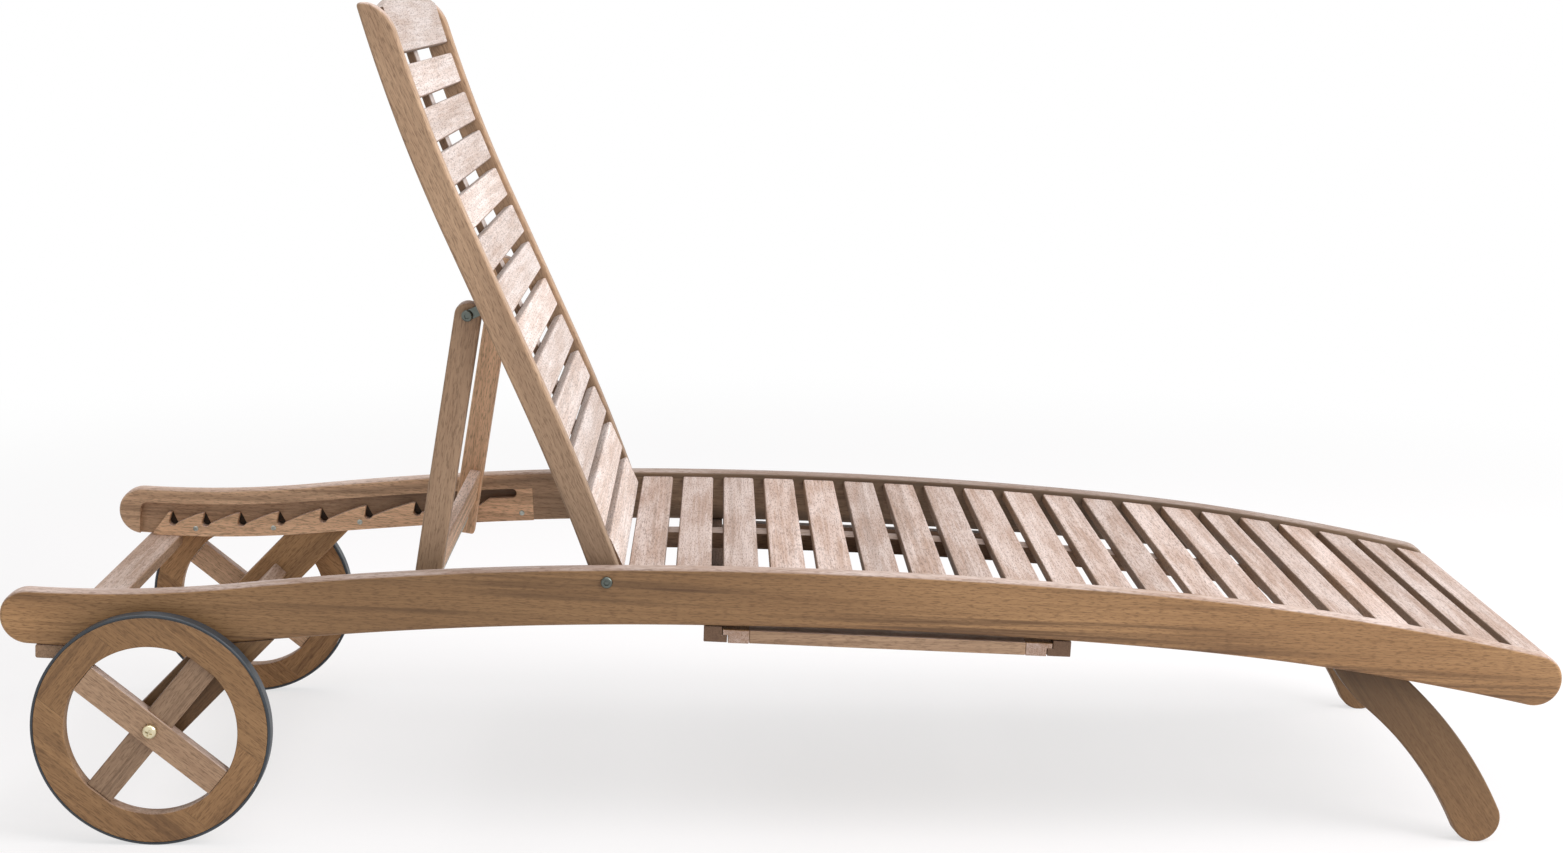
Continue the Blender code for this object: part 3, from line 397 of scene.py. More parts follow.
def wood(name, fresh, pale_side, streaks, cover, roughness, face=UP, turn=None, ends=0.0):
    """Hardwood: growth bands and fine lines along the grain, short dark pores, tones that drift along it.

    fresh holds the oiled wood's dark, middle and pale colours. Where the surface looks along face, it is
    drawn paler, up to the share cover, in clouds between the two colours of pale_side: partly bleaching by
    sunlight and partly painted light on the faces turned to the lamps. The grain runs along the first axis of
    the attribute "grain", and "tone" lightens or darkens the board, half as much on the pale side; on some
    pieces it also carries painted light and shade. With turn, the place is the object's own, turned by that
    rotation, and the ends are darker by the share ends.
    """
    look = Look(bpy.data.materials.new(name))
    normal = look.node("TexCoord", out=1)
    if turn is None:
        place = look.node("Attribute", out=1, attribute_name="grain")
        tone = look.node("Attribute", out=2, attribute_name="tone")
    else:
        place = look.node("Mapping", {"Vector": look.place(), "Rotation": turn})
        tone = 1.0
    dark, middle, pale = colours(*fresh)
    lines = look.figured(place, *LINES)
    fine = lines.between(*EVEN_STEP)
    drift = look.figured(place, *DRIFT).between(*EVEN_STEP)
    gather = look.figured(place, *GATHER).between(*GATHER_STEP)
    bands = look.figured(place, *BANDS).between(*BAND_STEP) * (gather * (1 - STRAY_BANDS) + STRAY_BANDS)
    pores = look.figured(place, *PORES).between(*PORE_STEP)
    clouds = look.figured(place, *CLOUDS).between(*CLOUD_STEP)
    body = look.mix(drift * DRIFT_SHARE + fine * (1 - DRIFT_SHARE), middle, pale)
    body = look.scaled(look.mix(bands * streaks, body, dark), tone)
    pale_face = look.mix(clouds * CLOUD_SHARE + fine * (1 - CLOUD_SHARE), *colours(*pale_side))
    pale_face = look.mix(bands * streaks * PALE_FACE_BANDS, pale_face, middle)
    pale_face = look.scaled(pale_face, tone * PALE_FACE_TONE + (1 - PALE_FACE_TONE))
    # Painted light in part: the side that looks along face takes the pale colours, which stand for bleaching
    # and also for the light that falls on it
    bleach_and_light = look.node("VectorMath", {0: normal, 1: face}, out=1, operation="DOT_PRODUCT")
    body = look.mix(bleach_and_light.between(*BLEACH_AND_LIGHT_STEP) * cover, body, pale_face)
    body = look.mix(pores * PORE_SHADE, body, dark)
    if turn is not None:
        facing = look.node("Mapping", {"Vector": normal, "Rotation": turn}, vector_type="NORMAL")
        facing = look.node("SeparateXYZ", {0: facing})
        body = look.mix((facing * facing).between(*END_STEP) * ends, body, dark)
    rough = roughness - LINE_ROUGHNESS / 2 + lines * LINE_ROUGHNESS + pores * PORE_ROUGHNESS
    height = lines * LINE_HEIGHT - pores * PORE_DEPTH - bands * BAND_DEPTH
    return look.surface({"Base Color": body, "Roughness": rough, "Normal": look.bump(height, *WOOD_BUMP),
                         "IOR": WOOD_IOR})


# Steel and rubber: densities of the fine grain and of the patches, where a patch begins and is full, its
# shade as a share of the tint, the roughness that patches and grain add, and the grain's bump
STEEL = {"metallic": 1.0, "fine": 1400.0, "patchy": 160.0, "step": (0.45, 0.75), "shade": 0.45,
         "rougher": (0.22, 0.10), "bump": (0.10, 0.0003)}
RUBBER = {"metallic": 0.0, "fine": 900.0, "patchy": 26.0, "step": (0.40, 0.75), "shade": 2.0,
          "rougher": (0.18, 0.0), "bump": (0.2, 0.0003)}
PATCH_DETAIL = 3.0


def coated(name, tint, roughness, cover, metallic, fine, patchy, step, shade, rougher, bump):
    """Steel or rubber: a fine grain, and cloudy patches of dulled plating or dust."""
    look = Look(bpy.data.materials.new(name))
    grain = look.noise(look.place(), fine)
    patch = look.noise(look.place(), patchy, PATCH_DETAIL).between(*step)
    body = look.mix(patch * cover, *colours(tint, [part * shade for part in tint]))
    rough = roughness + patch * rougher[0] + grain * rougher[1]
    return look.surface({"Base Color": body, "Metallic": metallic, "Roughness": rough,
                         "Normal": look.bump(grain, *bump)})


OILED = ((0.098, 0.048, 0.021), (0.270, 0.143, 0.059), (0.425, 0.244, 0.110))
FADED = ((0.130, 0.074, 0.040), (0.335, 0.206, 0.122), (0.500, 0.335, 0.212))
SHADED = ((0.060, 0.029, 0.016), (0.150, 0.082, 0.045), (0.240, 0.142, 0.082))
# Colours of the pale side, partly bleaching and partly painted light; the back slats' whiter ones are painted
# light from the foot side
BLEACHED_AND_LIT = ((0.360, 0.232, 0.172), (0.640, 0.530, 0.490))
WHITENED_AND_LIT = ((0.470, 0.350, 0.290), (0.720, 0.640, 0.610))
FLOOR_TINT, WHITE = colours((0.88, 0.84, 0.85), (1.0, 1.0, 1.0))
CROSSWAYS = (0.0, 0.0, QUARTER)
LENGTHWAYS = (0.0, 0.0, 0.0)

# Of each wood the shares of streaks and of the pale side's cover (bleaching and painted light), and the
# roughness; of each coat the roughness and the share of patches
rail_wood = wood("oiled_rail_wood", OILED, BLEACHED_AND_LIT, 0.85, 0.95, 0.55)
pale_wood = wood("faded_wood", FADED, BLEACHED_AND_LIT, 0.55, 0.80, 0.58)
leg_wood = wood("oiled_leg_wood", OILED, BLEACHED_AND_LIT, 0.55, 0.60, 0.58)
wheel_wood = wood("oiled_wheel_wood", OILED, BLEACHED_AND_LIT, 0.50, 0.50, 0.58)
slat_wood = wood("bleached_and_lit_slat_wood", SHADED, BLEACHED_AND_LIT, 0.60, 1.00, 0.60, BACK_FACE)
back_wood = wood("whitened_and_lit_back_wood", SHADED, WHITENED_AND_LIT, 0.45, 1.00, 0.60, BACK_FACE)
runner_wood = wood("oiled_runner_wood", SHADED, BLEACHED_AND_LIT, 0.50, 0.30, 0.60, UP, CROSSWAYS, 0.35)
batten_wood = wood("oiled_batten_wood", SHADED, BLEACHED_AND_LIT, 0.50, 0.70, 0.60, UP, LENGTHWAYS, 0.50)
tray_side_wood = wood("bleached_and_lit_tray_side_wood", OILED, BLEACHED_AND_LIT, 0.30, 0.70, 0.60, NEAR, CROSSWAYS)
tray_board_wood = wood("faded_tray_board_wood", FADED, BLEACHED_AND_LIT, 0.40, 0.80, 0.60, UP, LENGTHWAYS)
zinc = coated("zinc_plated_steel", (0.46, 0.48, 0.44), 0.32, 0.6, **STEEL)
brass = coated("brassed_steel", (0.72, 0.64, 0.44), 0.22, 0.4, **STEEL)
dark_steel = coated("dulled_steel", (0.135, 0.150, 0.135), 0.26, 0.5, **STEEL)
tyre_rubber = coated("tyre_rubber", (0.028, 0.035, 0.043), 0.42, 0.5, **RUBBER)


# Ways of shaping

def columns(*parts):
    """Points from coordinates that spread over one another's shape."""
    return np.stack(np.broadcast_arrays(*parts), axis=-1)


def path(*runs):
    """One outline from several runs of points."""
    return np.concatenate(runs)


def ring_faces(rows, count, closed=False):
    """Quads between neighbouring rows of count points, each row closed on itself."""
    row = np.arange(rows if closed else rows - 1)[:, None]
    here = np.arange(count)
    after = (here + 1) % count
    above = (row + 1) % rows * count
    quads = columns(row * count + here, row * count + after, above + after, above + here)
    return quads.reshape(-1, 4).tolist()


def capped_faces(rows, count):
    """Quads between the rows, and a flat at each end."""
    last = (rows - 1) * count
    return ring_faces(rows, count) + [list(range(count))[::-1], list(range(last, last + count))]


def arc(centre, radius, start, end, count):
    """Points on an arc from one angle to the other."""
    turn = np.linspace(start, end, count)
    return columns(centre[0] + radius * np.cos(turn), centre[1] + radius * np.sin(turn))


def box(left, right, half):
    """Corners of a rectangle about the first axis."""
    return [[left, -half], [right, -half], [right, half], [left, half]]


def span(side, one, other):
    """Two distances from the middle, on one side, as the lower and the higher Y."""
    return sorted((side * one, side * other))


def rounded(corners, radius, steps=CORNER_STEPS):
    """Each corner of a rectangle gives way to a quarter circle: corner + r (b - a + a sin t - b cos t), where
    a and b are the unit vectors along the edges into the corner and out of it."""
    corners = np.asarray(corners, float)
    radius = np.broadcast_to(radius, len(corners))[:, None, None]
    b = np.roll(corners, -1, axis=0) - corners
    b /= np.linalg.norm(b, axis=1, keepdims=True)
    a = np.roll(b, 1, axis=0)[:, None]
    b = b[:, None]
    t = np.linspace(0.0, QUARTER, steps + 1)[:, None]
    return (corners[:, None] + radius * (b - a + a * np.sin(t) - b * np.cos(t))).reshape(-1, 2)


def finely(outline, step):
    """The outline with points added, at most a step apart."""
    ahead = np.roll(outline, -1, axis=0) - outline
    count = np.maximum(np.ceil(np.linalg.norm(ahead, axis=1) / step).astype(int), 1)
    index = np.repeat(np.arange(len(outline)), count)
    share = (np.arange(len(index)) - np.repeat(np.cumsum(count) - count, count)) / count[index]
    return outline[index] + ahead[index] * share[:, None]


def anticlockwise(outline):
    """The outline in the order that keeps its inside to the left."""
    outline = np.asarray(outline, float)
    after = np.roll(outline, -1, axis=0)
    area = np.sum(outline[:, 0] * after[:, 1] - outline[:, 1] * after[:, 0])
    return outline if area > 0 else outline[::-1]


def plank(outline, low, high, edge, steps=5):
    """A board with rounded edges, as points (u, v, h): point(s, a) = C(s) - r (1 - cos a) n(s) at the height
    middle + sign(a) (half - r) + r sin a, for a from -90 to 90 degrees, and two flats. C is the outline and
    n its normal, stretched at corners to (n1 + n2) / (1 + n1 . n2) within a limit."""
    outline = anticlockwise(outline)
    ahead = np.roll(outline, -1, axis=0) - outline
    side = columns(ahead[:, 1], -ahead[:, 0])
    side /= np.linalg.norm(side, axis=1, keepdims=True)
    before = np.roll(side, 1, axis=0)
    normal = (side + before) / np.maximum(1.0 + np.sum(side * before, axis=1, keepdims=True), LEAST_DIVISOR)
    a = np.linspace(-QUARTER, QUARTER, 2 * steps)
    flat = outline[None] - edge * (1.0 - np.cos(a))[:, None, None] * normal[None]
    rise = (low + high) / 2 + np.sign(a) * ((high - low) / 2 - edge) + edge * np.sin(a)
    points = columns(flat[..., 0], flat[..., 1], rise[:, None])
    return points.reshape(-1, 3), capped_faces(len(a), len(outline))


def board(outline, y_low, y_high, edge, place=(0.0, 0.0), lean=0.0, steps=5):
    """An upright plank: u along X, v up and h towards -Y, leaned about Y at a place (X, Z)."""
    points, faces = plank(outline, -y_high, -y_low, edge, steps)
    u, v, h = points.T
    c = cos(lean)
    s = sin(lean)
    return columns(place[0] + c * u + s * v, -h, place[1] - s * u + c * v), faces


def cross_bars(x, z, turn, size, edge, tone=1.0):
    """Squared bars across the lounger: q = core + r unit(g - core), where g runs over a box grid and core is
    g held inside the box less r. turn is the angle of a bar's width from X towards Z, and size is (length,
    width, thickness)."""
    half = np.array(size) / 2
    step = edge * np.sin(np.linspace(0.0, QUARTER, num=5))
    along, u, v = [path(edge - h - step[::-1], h - edge + step) for h in half]
    rim = path(columns(u[:-1], -half[2]), columns(half[1], v[:-1]),
               columns(u[:0:-1], half[2]), columns(-half[1], v[:0:-1]))
    grid = columns(along[:, None], rim[:, 0], rim[:, 1]).reshape(-1, 3)
    core = np.clip(grid, edge - half, half - edge)
    away = grid - core
    local = core + edge * away / np.maximum(np.linalg.norm(away, axis=1, keepdims=True), TINY)
    x, z, turn = (np.atleast_1d(np.asarray(value, float)) for value in (x, z, turn))
    c = np.cos(turn)
    s = np.sin(turn)
    axes = np.stack([columns(0.0 * x, -1.0, 0.0), columns(c, 0.0, s), columns(-s, 0.0, c)], axis=1)
    points = columns(x, 0.0, z)[:, None] + np.einsum("pk,nkj->npj", local, axes)
    tones = figure.uniform(*BAR_TONES, (len(x), 1)) * tone
    place = local + figure.uniform(*FIGURE_SPAN, (len(x), 1, 3))
    grain = columns(*np.moveaxis(place, 2, 0), tones)
    bar = capped_faces(len(along), len(rim))
    starts = range(0, len(x) * len(local), len(local))
    faces = [[i + start for i in face] for start in starts for face in bar]
    return points.reshape(-1, 3), faces, grain.reshape(-1, 4)


def turned(profile, place, side, steps=48):
    """A turned piece about a line along Y: point(i, t) = place + r (cos t, sin t) across and out to the side.

    profile holds (radius, out, hexagon) from the outer end to the inner one; with hexagon 1 the radius is
    that of a hexagon's corner, r cos 30 / cos(t within 30 degrees of a flat's middle).
    """
    radius, out, six = np.array(profile).T
    t = np.linspace(0.0, 2 * pi, steps, endpoint=False)
    flat = cos(pi / 6) / np.cos(t % (pi / 3) - pi / 6)
    reach = radius[1:-1, None] * (1.0 + six[1:-1, None] * (flat - 1.0))
    rows = len(reach)
    across = columns(reach * np.cos(t), side * out[1:-1, None], reach * np.sin(t))
    poles = columns(0.0, side * out[[0, -1]], 0.0)
    points = path(across.reshape(-1, 3), poles) + np.array(place)
    last = (rows - 1) * steps
    pole = rows * steps
    here = np.arange(steps)
    after = (here + 1) % steps
    faces = ring_faces(rows, steps)
    faces += columns(pole, after, here).tolist()
    faces += columns(last + here, last + after, pole + 1).tolist()
    return points, faces if side > 0 else [face[::-1] for face in faces]


def turned_ring(section, place, steps=160):
    """A ring about a line along Y: a closed section of (radius, y) carried round the circle."""
    radius, y = anticlockwise(section).T
    t = np.linspace(0.0, 2 * pi, steps, endpoint=False)[:, None]
    points = columns(place[0] + radius * np.cos(t), place[1] + y, place[2] + radius * np.sin(t))
    return points.reshape(-1, 3), ring_faces(steps, len(y), closed=True)


def joined(*shapes):
    """Several shapes as one, with their grains where they have them."""
    points, faces, *grains = zip(*shapes)
    starts = np.cumsum([0] + [len(part) for part in points]).tolist()
    faces = [[i + start for i in face] for start, part in zip(starts, faces) for face in part]
    return (np.concatenate(points), faces, *map(np.concatenate, grains))


def grain_along(points, angle, tone=1.0):
    """The wood's coordinates, with the grain at an angle from X towards Z, and its tone."""
    x, y, z = points.T
    c = cos(angle)
    s = sin(angle)
    shift = figure.uniform(*FIGURE_SPAN, 3)
    tone = tone(points) if callable(tone) else tone
    return columns(c * x + s * z + shift[0], c * z - s * x + shift[1], y + shift[2], tone)


def fading(axis, places, tones):
    """A tone that changes along an axis, straight from one place to the next."""
    return lambda points: np.interp(points[:, axis], places, tones)


def grained(shape, angle, tone=1.0):
    """A shape with its grain."""
    return (*shape, grain_along(shape[0], angle, tone))


def add(name, data):
    """A new object in the scene."""
    obj = bpy.data.objects.new(name, data)
    scene.collection.objects.link(obj)
    return obj


def mesh_object(name, shape, material):
    """A smooth mesh object at the origin, with its grain where it has one."""
    mesh = bpy.data.meshes.new(name)
    mesh.from_pydata(shape[0].tolist(), [], shape[1])
    mesh.shade_smooth()
    mesh.materials.append(material)
    obj = add(name, mesh)
    if len(shape) > 2:
        write_grain(obj, shape[2])
    return obj


def write_grain(obj, grain):
    """Stores the wood's coordinates and tone on a mesh."""
    for name, kind, key, values in (("grain", "FLOAT_VECTOR", "vector", grain[:, :3]),
                                    ("tone", "FLOAT", "value", grain[:, 3])):
        attribute = obj.data.attributes.new(name, kind, "POINT")
        attribute.data.foreach_set(key, np.ascontiguousarray(values, np.float32).ravel())


def carve(obj, *cutters):
    """Cuts a piece with other shapes and keeps the result as its mesh."""
    for shape in cutters:
        cutter = mesh_object("cutter", shape, obj.data.materials[0])
        boolean = obj.modifiers.new("carving", "BOOLEAN")
        boolean.operation = "DIFFERENCE"
        boolean.solver = "EXACT"
        boolean.object = cutter
        bpy.context.view_layer.update()
        evaluated = obj.evaluated_get(bpy.context.evaluated_depsgraph_get())
        mesh = bpy.data.meshes.new_from_object(evaluated)
        obj.modifiers.remove(boolean)
        obj.data = mesh
        bpy.data.objects.remove(cutter)


def regrain(obj, angle, tone=1.0):
    """Gives a carved piece its grain."""
    points = np.empty(len(obj.data.vertices) * 3, np.float32)
    obj.data.vertices.foreach_get("co", points)
    write_grain(obj, grain_along(points.reshape(-1, 3).astype(float), angle, tone))


def keep(obj, body, slot, *nodes):
    """Finishes a piece with crisp corners and flat flats; it rides on a body in place of its nodes."""
    obj.data.set_sharp_from_angle(angle=SHARP_ANGLE)
    even = obj.modifiers.new("even_normals", "WEIGHTED_NORMAL")
    even.keep_sharp = True
    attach(obj, body)
    if nodes:
        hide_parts(*nodes)


def piece(name, shape, material, body, slot, *nodes):
    """Makes and finishes a piece."""
    keep(mesh_object(name, shape, material), body, slot, *nodes)


# Side rails and racks

def rail_line(x):
    """Height and slope of a rail's top edge: z'' = 1 / radius over each bend, summed from the head end."""
    x = np.asarray(x, float)
    height = np.full(x.shape, RAIL_HEAD_TOP)
    slope = np.full(x.shape, RAIL_HEAD_SLOPE)
    starts = [HEAD_END + share * LENGTH for share, radius in RAIL_BENDS]
    for start, end, (share, radius) in zip(starts, starts[1:] + [inf], RAIL_BENDS):
        run = np.maximum(np.minimum(x, end) - start, 0.0)
        height = height + slope * run + run ** 2 / (2 * radius)
        slope = slope + run / radius
    return height, slope


def rail_depth(x):
    """Depth square to the top edge, tapering to both ends."""
    head = np.maximum(0.0, 1.0 - (x - HEAD_END) / (HEAD_TAPER * LENGTH))
    foot = np.maximum(0.0, 1.0 - (FOOT_END - x) / (FOOT_TAPER * LENGTH))
    return RAIL_DEPTH + (RAIL_HEAD_DEPTH - RAIL_DEPTH) * head + (RAIL_FOOT_DEPTH - RAIL_DEPTH) * foot


def rail_point(x, rise):
    """X and Z at a rise above the rail's lower edge, square to it."""
    height, slope = rail_line(x)
    long = np.hypot(1.0, slope)
    below = rail_depth(x) - rise
    return columns(x + slope * below / long, height - below / long)


def rail_bottom(x):
    """Height of a rail's lower edge."""
    height, slope = rail_line(x)
    return float(height - rail_depth(x) * np.hypot(1.0, slope))


def rail_outline(grow=0.0):
    """A rail from the side: bowed edges and half-round ends."""
    head_turn = atan(rail_line(HEAD_END + RAIL_HEAD_DEPTH / 2)[1])
    foot_turn = atan(rail_line(FOOT_END - RAIL_FOOT_DEPTH / 2)[1])
    head_x = HEAD_END + RAIL_HEAD_DEPTH / 2 * (1.0 - sin(head_turn))
    foot_x = FOOT_END - RAIL_FOOT_DEPTH / 2 * (1.0 + sin(foot_turn))
    x = np.linspace(head_x, foot_x, num=180)
    depth = rail_depth(x)
    ends = [arc(rail_point(end_x, deep / 2), deep / 2 + grow, start, start - pi, count=26)[1:-1]
            for end_x, deep, start in ((foot_x, depth[-1], foot_turn + QUARTER),
                                       (head_x, depth[0], head_turn - QUARTER))]
    return path(rail_point(x, depth + grow), ends[0], rail_point(x[::-1], -grow), ends[1])


def rebate_outline():
    """The rebate for the rack, open below, with a round corner at its head end."""
    head = HEAD_END + REBATE_HEAD
    foot = HEAD_END + REBATE_FOOT
    below = -RAIL_DEPTH / 4
    corner = arc((head + REBATE_CORNER, LIP_RISE - REBATE_CORNER), REBATE_CORNER, pi, QUARTER, count=9)
    outline = finely(path(corner, [[foot, LIP_RISE], [foot, below], [head, below]]), RACK_STEP)
    return rail_point(*outline.T)


RAIL_LOOKS = {"right": rail_wood, "left": pale_wood}
# Tones with painted light and shade: the near rail darkest by the wheel and paler towards the foot, lit from
# that end; the far rail paler at the head, partly lighter wood, and painted dark along the seat, where its
# inner face lies in shade
RAIL_LIGHT_AND_SHADE = {"right": fading(0, (-1.0, -0.8, -0.5, 0.0, 0.5, 1.0), (1.30, 0.94, 0.68, 0.84, 1.08, 1.06)),
              "left": fading(0, (-0.5, -0.25, -0.05, 0.6, 1.0), (1.60, 0.48, 0.28, 0.28, 0.42))}
# Painted shade on the rebate's floor, deepening towards the seat, and in the pockets, painted near black
REBATE_PAINTED_SHADE = fading(0, (-0.87, -0.69, -0.60, -0.40), (0.85, 0.64, 0.45, 0.28))
POCKET_PAINTED_SHADE = 0.12
# Racks and far prop post paler: partly paler wood, partly painted light that lifts the shade they lie in
PALE_AND_LIT_TONE = 2.1
RAIL_GRAIN = radians(-2.0)
RACK_GRAIN = radians(-3.0)


def rail_painted_light_and_shade(name):
    """The rail's tone with painted light and shade: painted shade on the rebate's floor, darkest in the
    pockets.
    """
    def tone(points):
        deep = np.abs(points[:, 1]) - RAIL_INNER - REBATE_DEPTH
        tones = RAIL_LIGHT_AND_SHADE[name](points)
        tones = np.where(np.isclose(deep, 0.0, atol=GAP / 2), tones * REBATE_PAINTED_SHADE(points), tones)
        return np.where(np.isclose(deep, POCKET_DEPTH, atol=2 * GAP), POCKET_PAINTED_SHADE, tones)
    return tone


def make_rails():
    """The bowed side rails; their grain runs straight, so the bow cuts across it."""
    for name, side in SIDES:
        shape = board(rail_outline(), *span(side, RAIL_INNER, WIDTH / 2), RAIL_EDGE)
        rail = mesh_object("rail_" + name, shape, RAIL_LOOKS[name])
        reach = span(side, RAIL_INNER - RAIL_THICK, RAIL_INNER + REBATE_DEPTH)
        carve(rail, board(rebate_outline(), *reach, GAP, steps=2), notch_pockets(side))
        regrain(rail, RAIL_GRAIN, rail_painted_light_and_shade(name))
        keep(rail, "frame", "rail_wood", "side_rail_" + name)


def rod_place():
    """The rod's X and Z, and the prop's length that brings it down onto a notch's floor."""
    pivot = back_point(-PIVOT_BEHIND, PIVOT_UP)
    length = pivot[1] - RAIL_HEAD_TOP
    for step in range(ROD_TRIES):
        rod_x = pivot[0] - length * sin(PROP_LEAN)
        length = (pivot[1] - rail_bottom(rod_x) - FLOOR_RISE - GAP - ROD_RADIUS) / cos(PROP_LEAN)
    return pivot[0] - length * sin(PROP_LEAN), pivot[1] - length * cos(PROP_LEAN), length


def notch_places():
    """Middles of the notches, from the rod's own to the head end; the pitch shrinks."""
    pitch = NOTCH_PITCH * NOTCH_SHRINK ** np.arange(NOTCHES - 1)
    return rod_place()[0] - path([0.0], np.cumsum(pitch))


def notch_hollow():
    """A notch as (along, rise): a round floor under a tooth that hooks over it."""
    half = NOTCH_WIDTH / 2
    floor = arc((0.0, FLOOR_RISE + half), half, -asin(1 - TOOTH_TOE / half), -pi, count=13)
    return path(floor, [[TOOTH_HOOK - half, PEAK_RISE]])


def rack_outline():
    """A toothed rack under a channel with a round end. Each notch's ramp rises from its toe by the share
    (1 + b) s - b s^2 of the way s to the next tooth's tip, where b is RAMP_BOW."""
    head = HEAD_END + RACK_HEAD
    foot = HEAD_END + REBATE_FOOT - GAP
    bend = (LIP_RISE - GAP - PEAK_RISE) / 2
    mouth_x = HEAD_END + CHANNEL_FOOT - bend
    notch = notch_places()
    hollow = notch_hollow()
    crest = notch + hollow[-1, 0] - TOOTH_FLAT
    start = path([min(mouth_x, notch[0] + FIRST_RAMP)], crest[:-1])
    s = np.linspace(1.0, 0.0, num=9)[:-1]
    toe = notch + hollow[0, 0]
    rise = hollow[0, 1] + (PEAK_RISE - hollow[0, 1]) * ((1 + RAMP_BOW) * s - RAMP_BOW * s ** 2)
    ramps = columns(toe[:, None] + (start - toe)[:, None] * s, rise)
    hollows = hollow + columns(notch, 0.0)[:, None]
    teeth = np.concatenate([ramps, hollows], axis=1).reshape(-1, 2)
    mouth = arc((mouth_x, PEAK_RISE + bend), bend, QUARTER, -QUARTER, count=13)
    tip = [[crest[-1], PEAK_RISE], [head, TOOTH_TOE], [head, 0.0], [foot, 0.0], [foot, LIP_RISE - GAP]]
    outline = finely(path(mouth, teeth, tip), RACK_STEP)
    return rail_point(*outline.T)


def notch_pockets(side):
    """Drop-shaped pockets behind the notches, in the rebate's floor, painted near black as the shade under
    the teeth.
    """
    reach = span(side, RAIL_INNER, RAIL_INNER + REBATE_DEPTH + POCKET_DEPTH)
    drops = [notch_hollow() + [place, 0.0] for place in notch_places().tolist()]
    return joined(*[board(rail_point(*drop.T), *reach, GAP, steps=2) for drop in drops])


def make_racks():
    """The toothed racks in the rebates, and their screws."""
    spots = rail_point(HEAD_END + np.array(RACK_SCREWS), RACK_SCREW_RISE)
    for name, side in SIDES:
        reach = span(side, RAIL_INNER, RAIL_INNER + REBATE_DEPTH - GAP)
        shape = grained(board(rack_outline(), *reach, RACK_EDGE, steps=2), RACK_GRAIN, PALE_AND_LIT_TONE)
        piece("rack_teeth_" + name, shape, pale_wood, "frame", "rail_wood", "rack_" + name)
        heads = [socket_screw((x, side * RAIL_INNER, z), -side) for x, z in spots.tolist()]
        piece("rack_screws_" + name, joined(*heads), zinc, "frame", "steel")


# Seat

def make_seat():
    """Seat slats between the rails, each square to the rail's top edge."""
    half = SEAT_SLAT_WIDTH / 2
    x = np.linspace(SEAT_START + half, FOOT_END - SEAT_END - half, SEAT_SLATS)
    height, slope = rail_line(x)
    turn = np.arctan(slope)
    drop = SEAT_SLAT_SINK + SEAT_SLAT_THICK / 2
    size = (2 * (RAIL_INNER - GAP), SEAT_SLAT_WIDTH, SEAT_SLAT_THICK)
    shape = cross_bars(x + drop * np.sin(turn), height - drop * np.cos(turn), turn, size, SEAT_SLAT_EDGE)
    nodes = ["seat_slat_%02d" % (i + 1) for i in range(SEAT_SLATS)]
    piece("seat_slats", shape, slat_wood, "frame", "slat_wood", *nodes)


# Legs and cross pieces

def leg_cutters(side):
    """The rail with a clearance, and all that is above the lap on its inner face."""
    rail = board(rail_outline(GAP), *span(side, RAIL_INNER - GAP, WIDTH), GAP, steps=2)
    lap = rail_point(np.linspace(HEAD_END, FOOT_END, num=90), LEG_LAP)
    above = path(lap, [[lap[-1, 0], WIDTH], [lap[0, 0], WIDTH]])
    return rail, board(above, *span(side, 0.0, WIDTH), GAP, steps=2)


def front_leg_outline():
    """A bowed leg: arcs about one centre, a round foot with a small flat, and an upper end that bends back
    under the rail."""
    half = FRONT_LEG_WIDTH / 2
    foot = Vector((FRONT_LEG_FOOT_X, half * cos(FOOT_FLAT)))
    top = Vector((FRONT_LEG_TOP_X, rail_bottom(FRONT_LEG_TOP_X)))
    chord = (foot - top).length
    bow = ((chord / 2) ** 2 + FRONT_LEG_SAG ** 2) / (2 * FRONT_LEG_SAG)
    along = (foot - top).normalized()
    centre = (foot + top) / 2 - Vector((-along.y, along.x)) * (bow - FRONT_LEG_SAG)
    low = atan2(foot.y - centre.y, foot.x - centre.x)
    bend = FRONT_LEG_BEND_ANGLE
    pivot = centre + Vector((cos(bend), sin(bend))) * (bow + FRONT_LEG_BACK_BEND)
    end = bend + pi - FRONT_LEG_BACK_TURN
    return path(arc(pivot, FRONT_LEG_BACK_BEND - half, end, bend + pi, count=16)[:-1],
                arc(centre, bow + half, bend, low, count=40)[:-1],
                arc(foot, half, low, FOOT_FLAT - QUARTER, count=20),
                arc(foot, half, -FOOT_FLAT - QUARTER, low - pi, count=20)[:-1],
                arc(centre, bow - half, low, bend, count=40)[:-1],
                arc(pivot, FRONT_LEG_BACK_BEND + half, bend + pi, end, count=16))


def back_leg_outline():
    """A straight slanted leg, rounded about the axle."""
    foot = arc(HUB, BACK_LEG_WIDTH / 2, BACK_LEG_ANGLE + QUARTER, BACK_LEG_ANGLE + 3 * QUARTER, count=40)
    run = LEG_REACH * np.array([cos(BACK_LEG_ANGLE), sin(BACK_LEG_ANGLE)])
    return path(foot, [foot[-1] + run, foot[0] + run])


# Front legs darker wood with the rail's shadow painted on, darkest at the top under the rail; the near back
# leg, seen behind the wheel, painted darker as shade
FRONT_LEG_TONE_AND_SHADOW = fading(2, (0.0, 0.13, 0.20, 0.26), (0.70, 0.46, 0.34, 0.18))
FRONT_LEG_GRAIN = -0.95
BACK_LEG_TONES_AND_SHADE = {"right": 0.55, "left": 1.05}
HEAD_BAR_TONE = 1.2


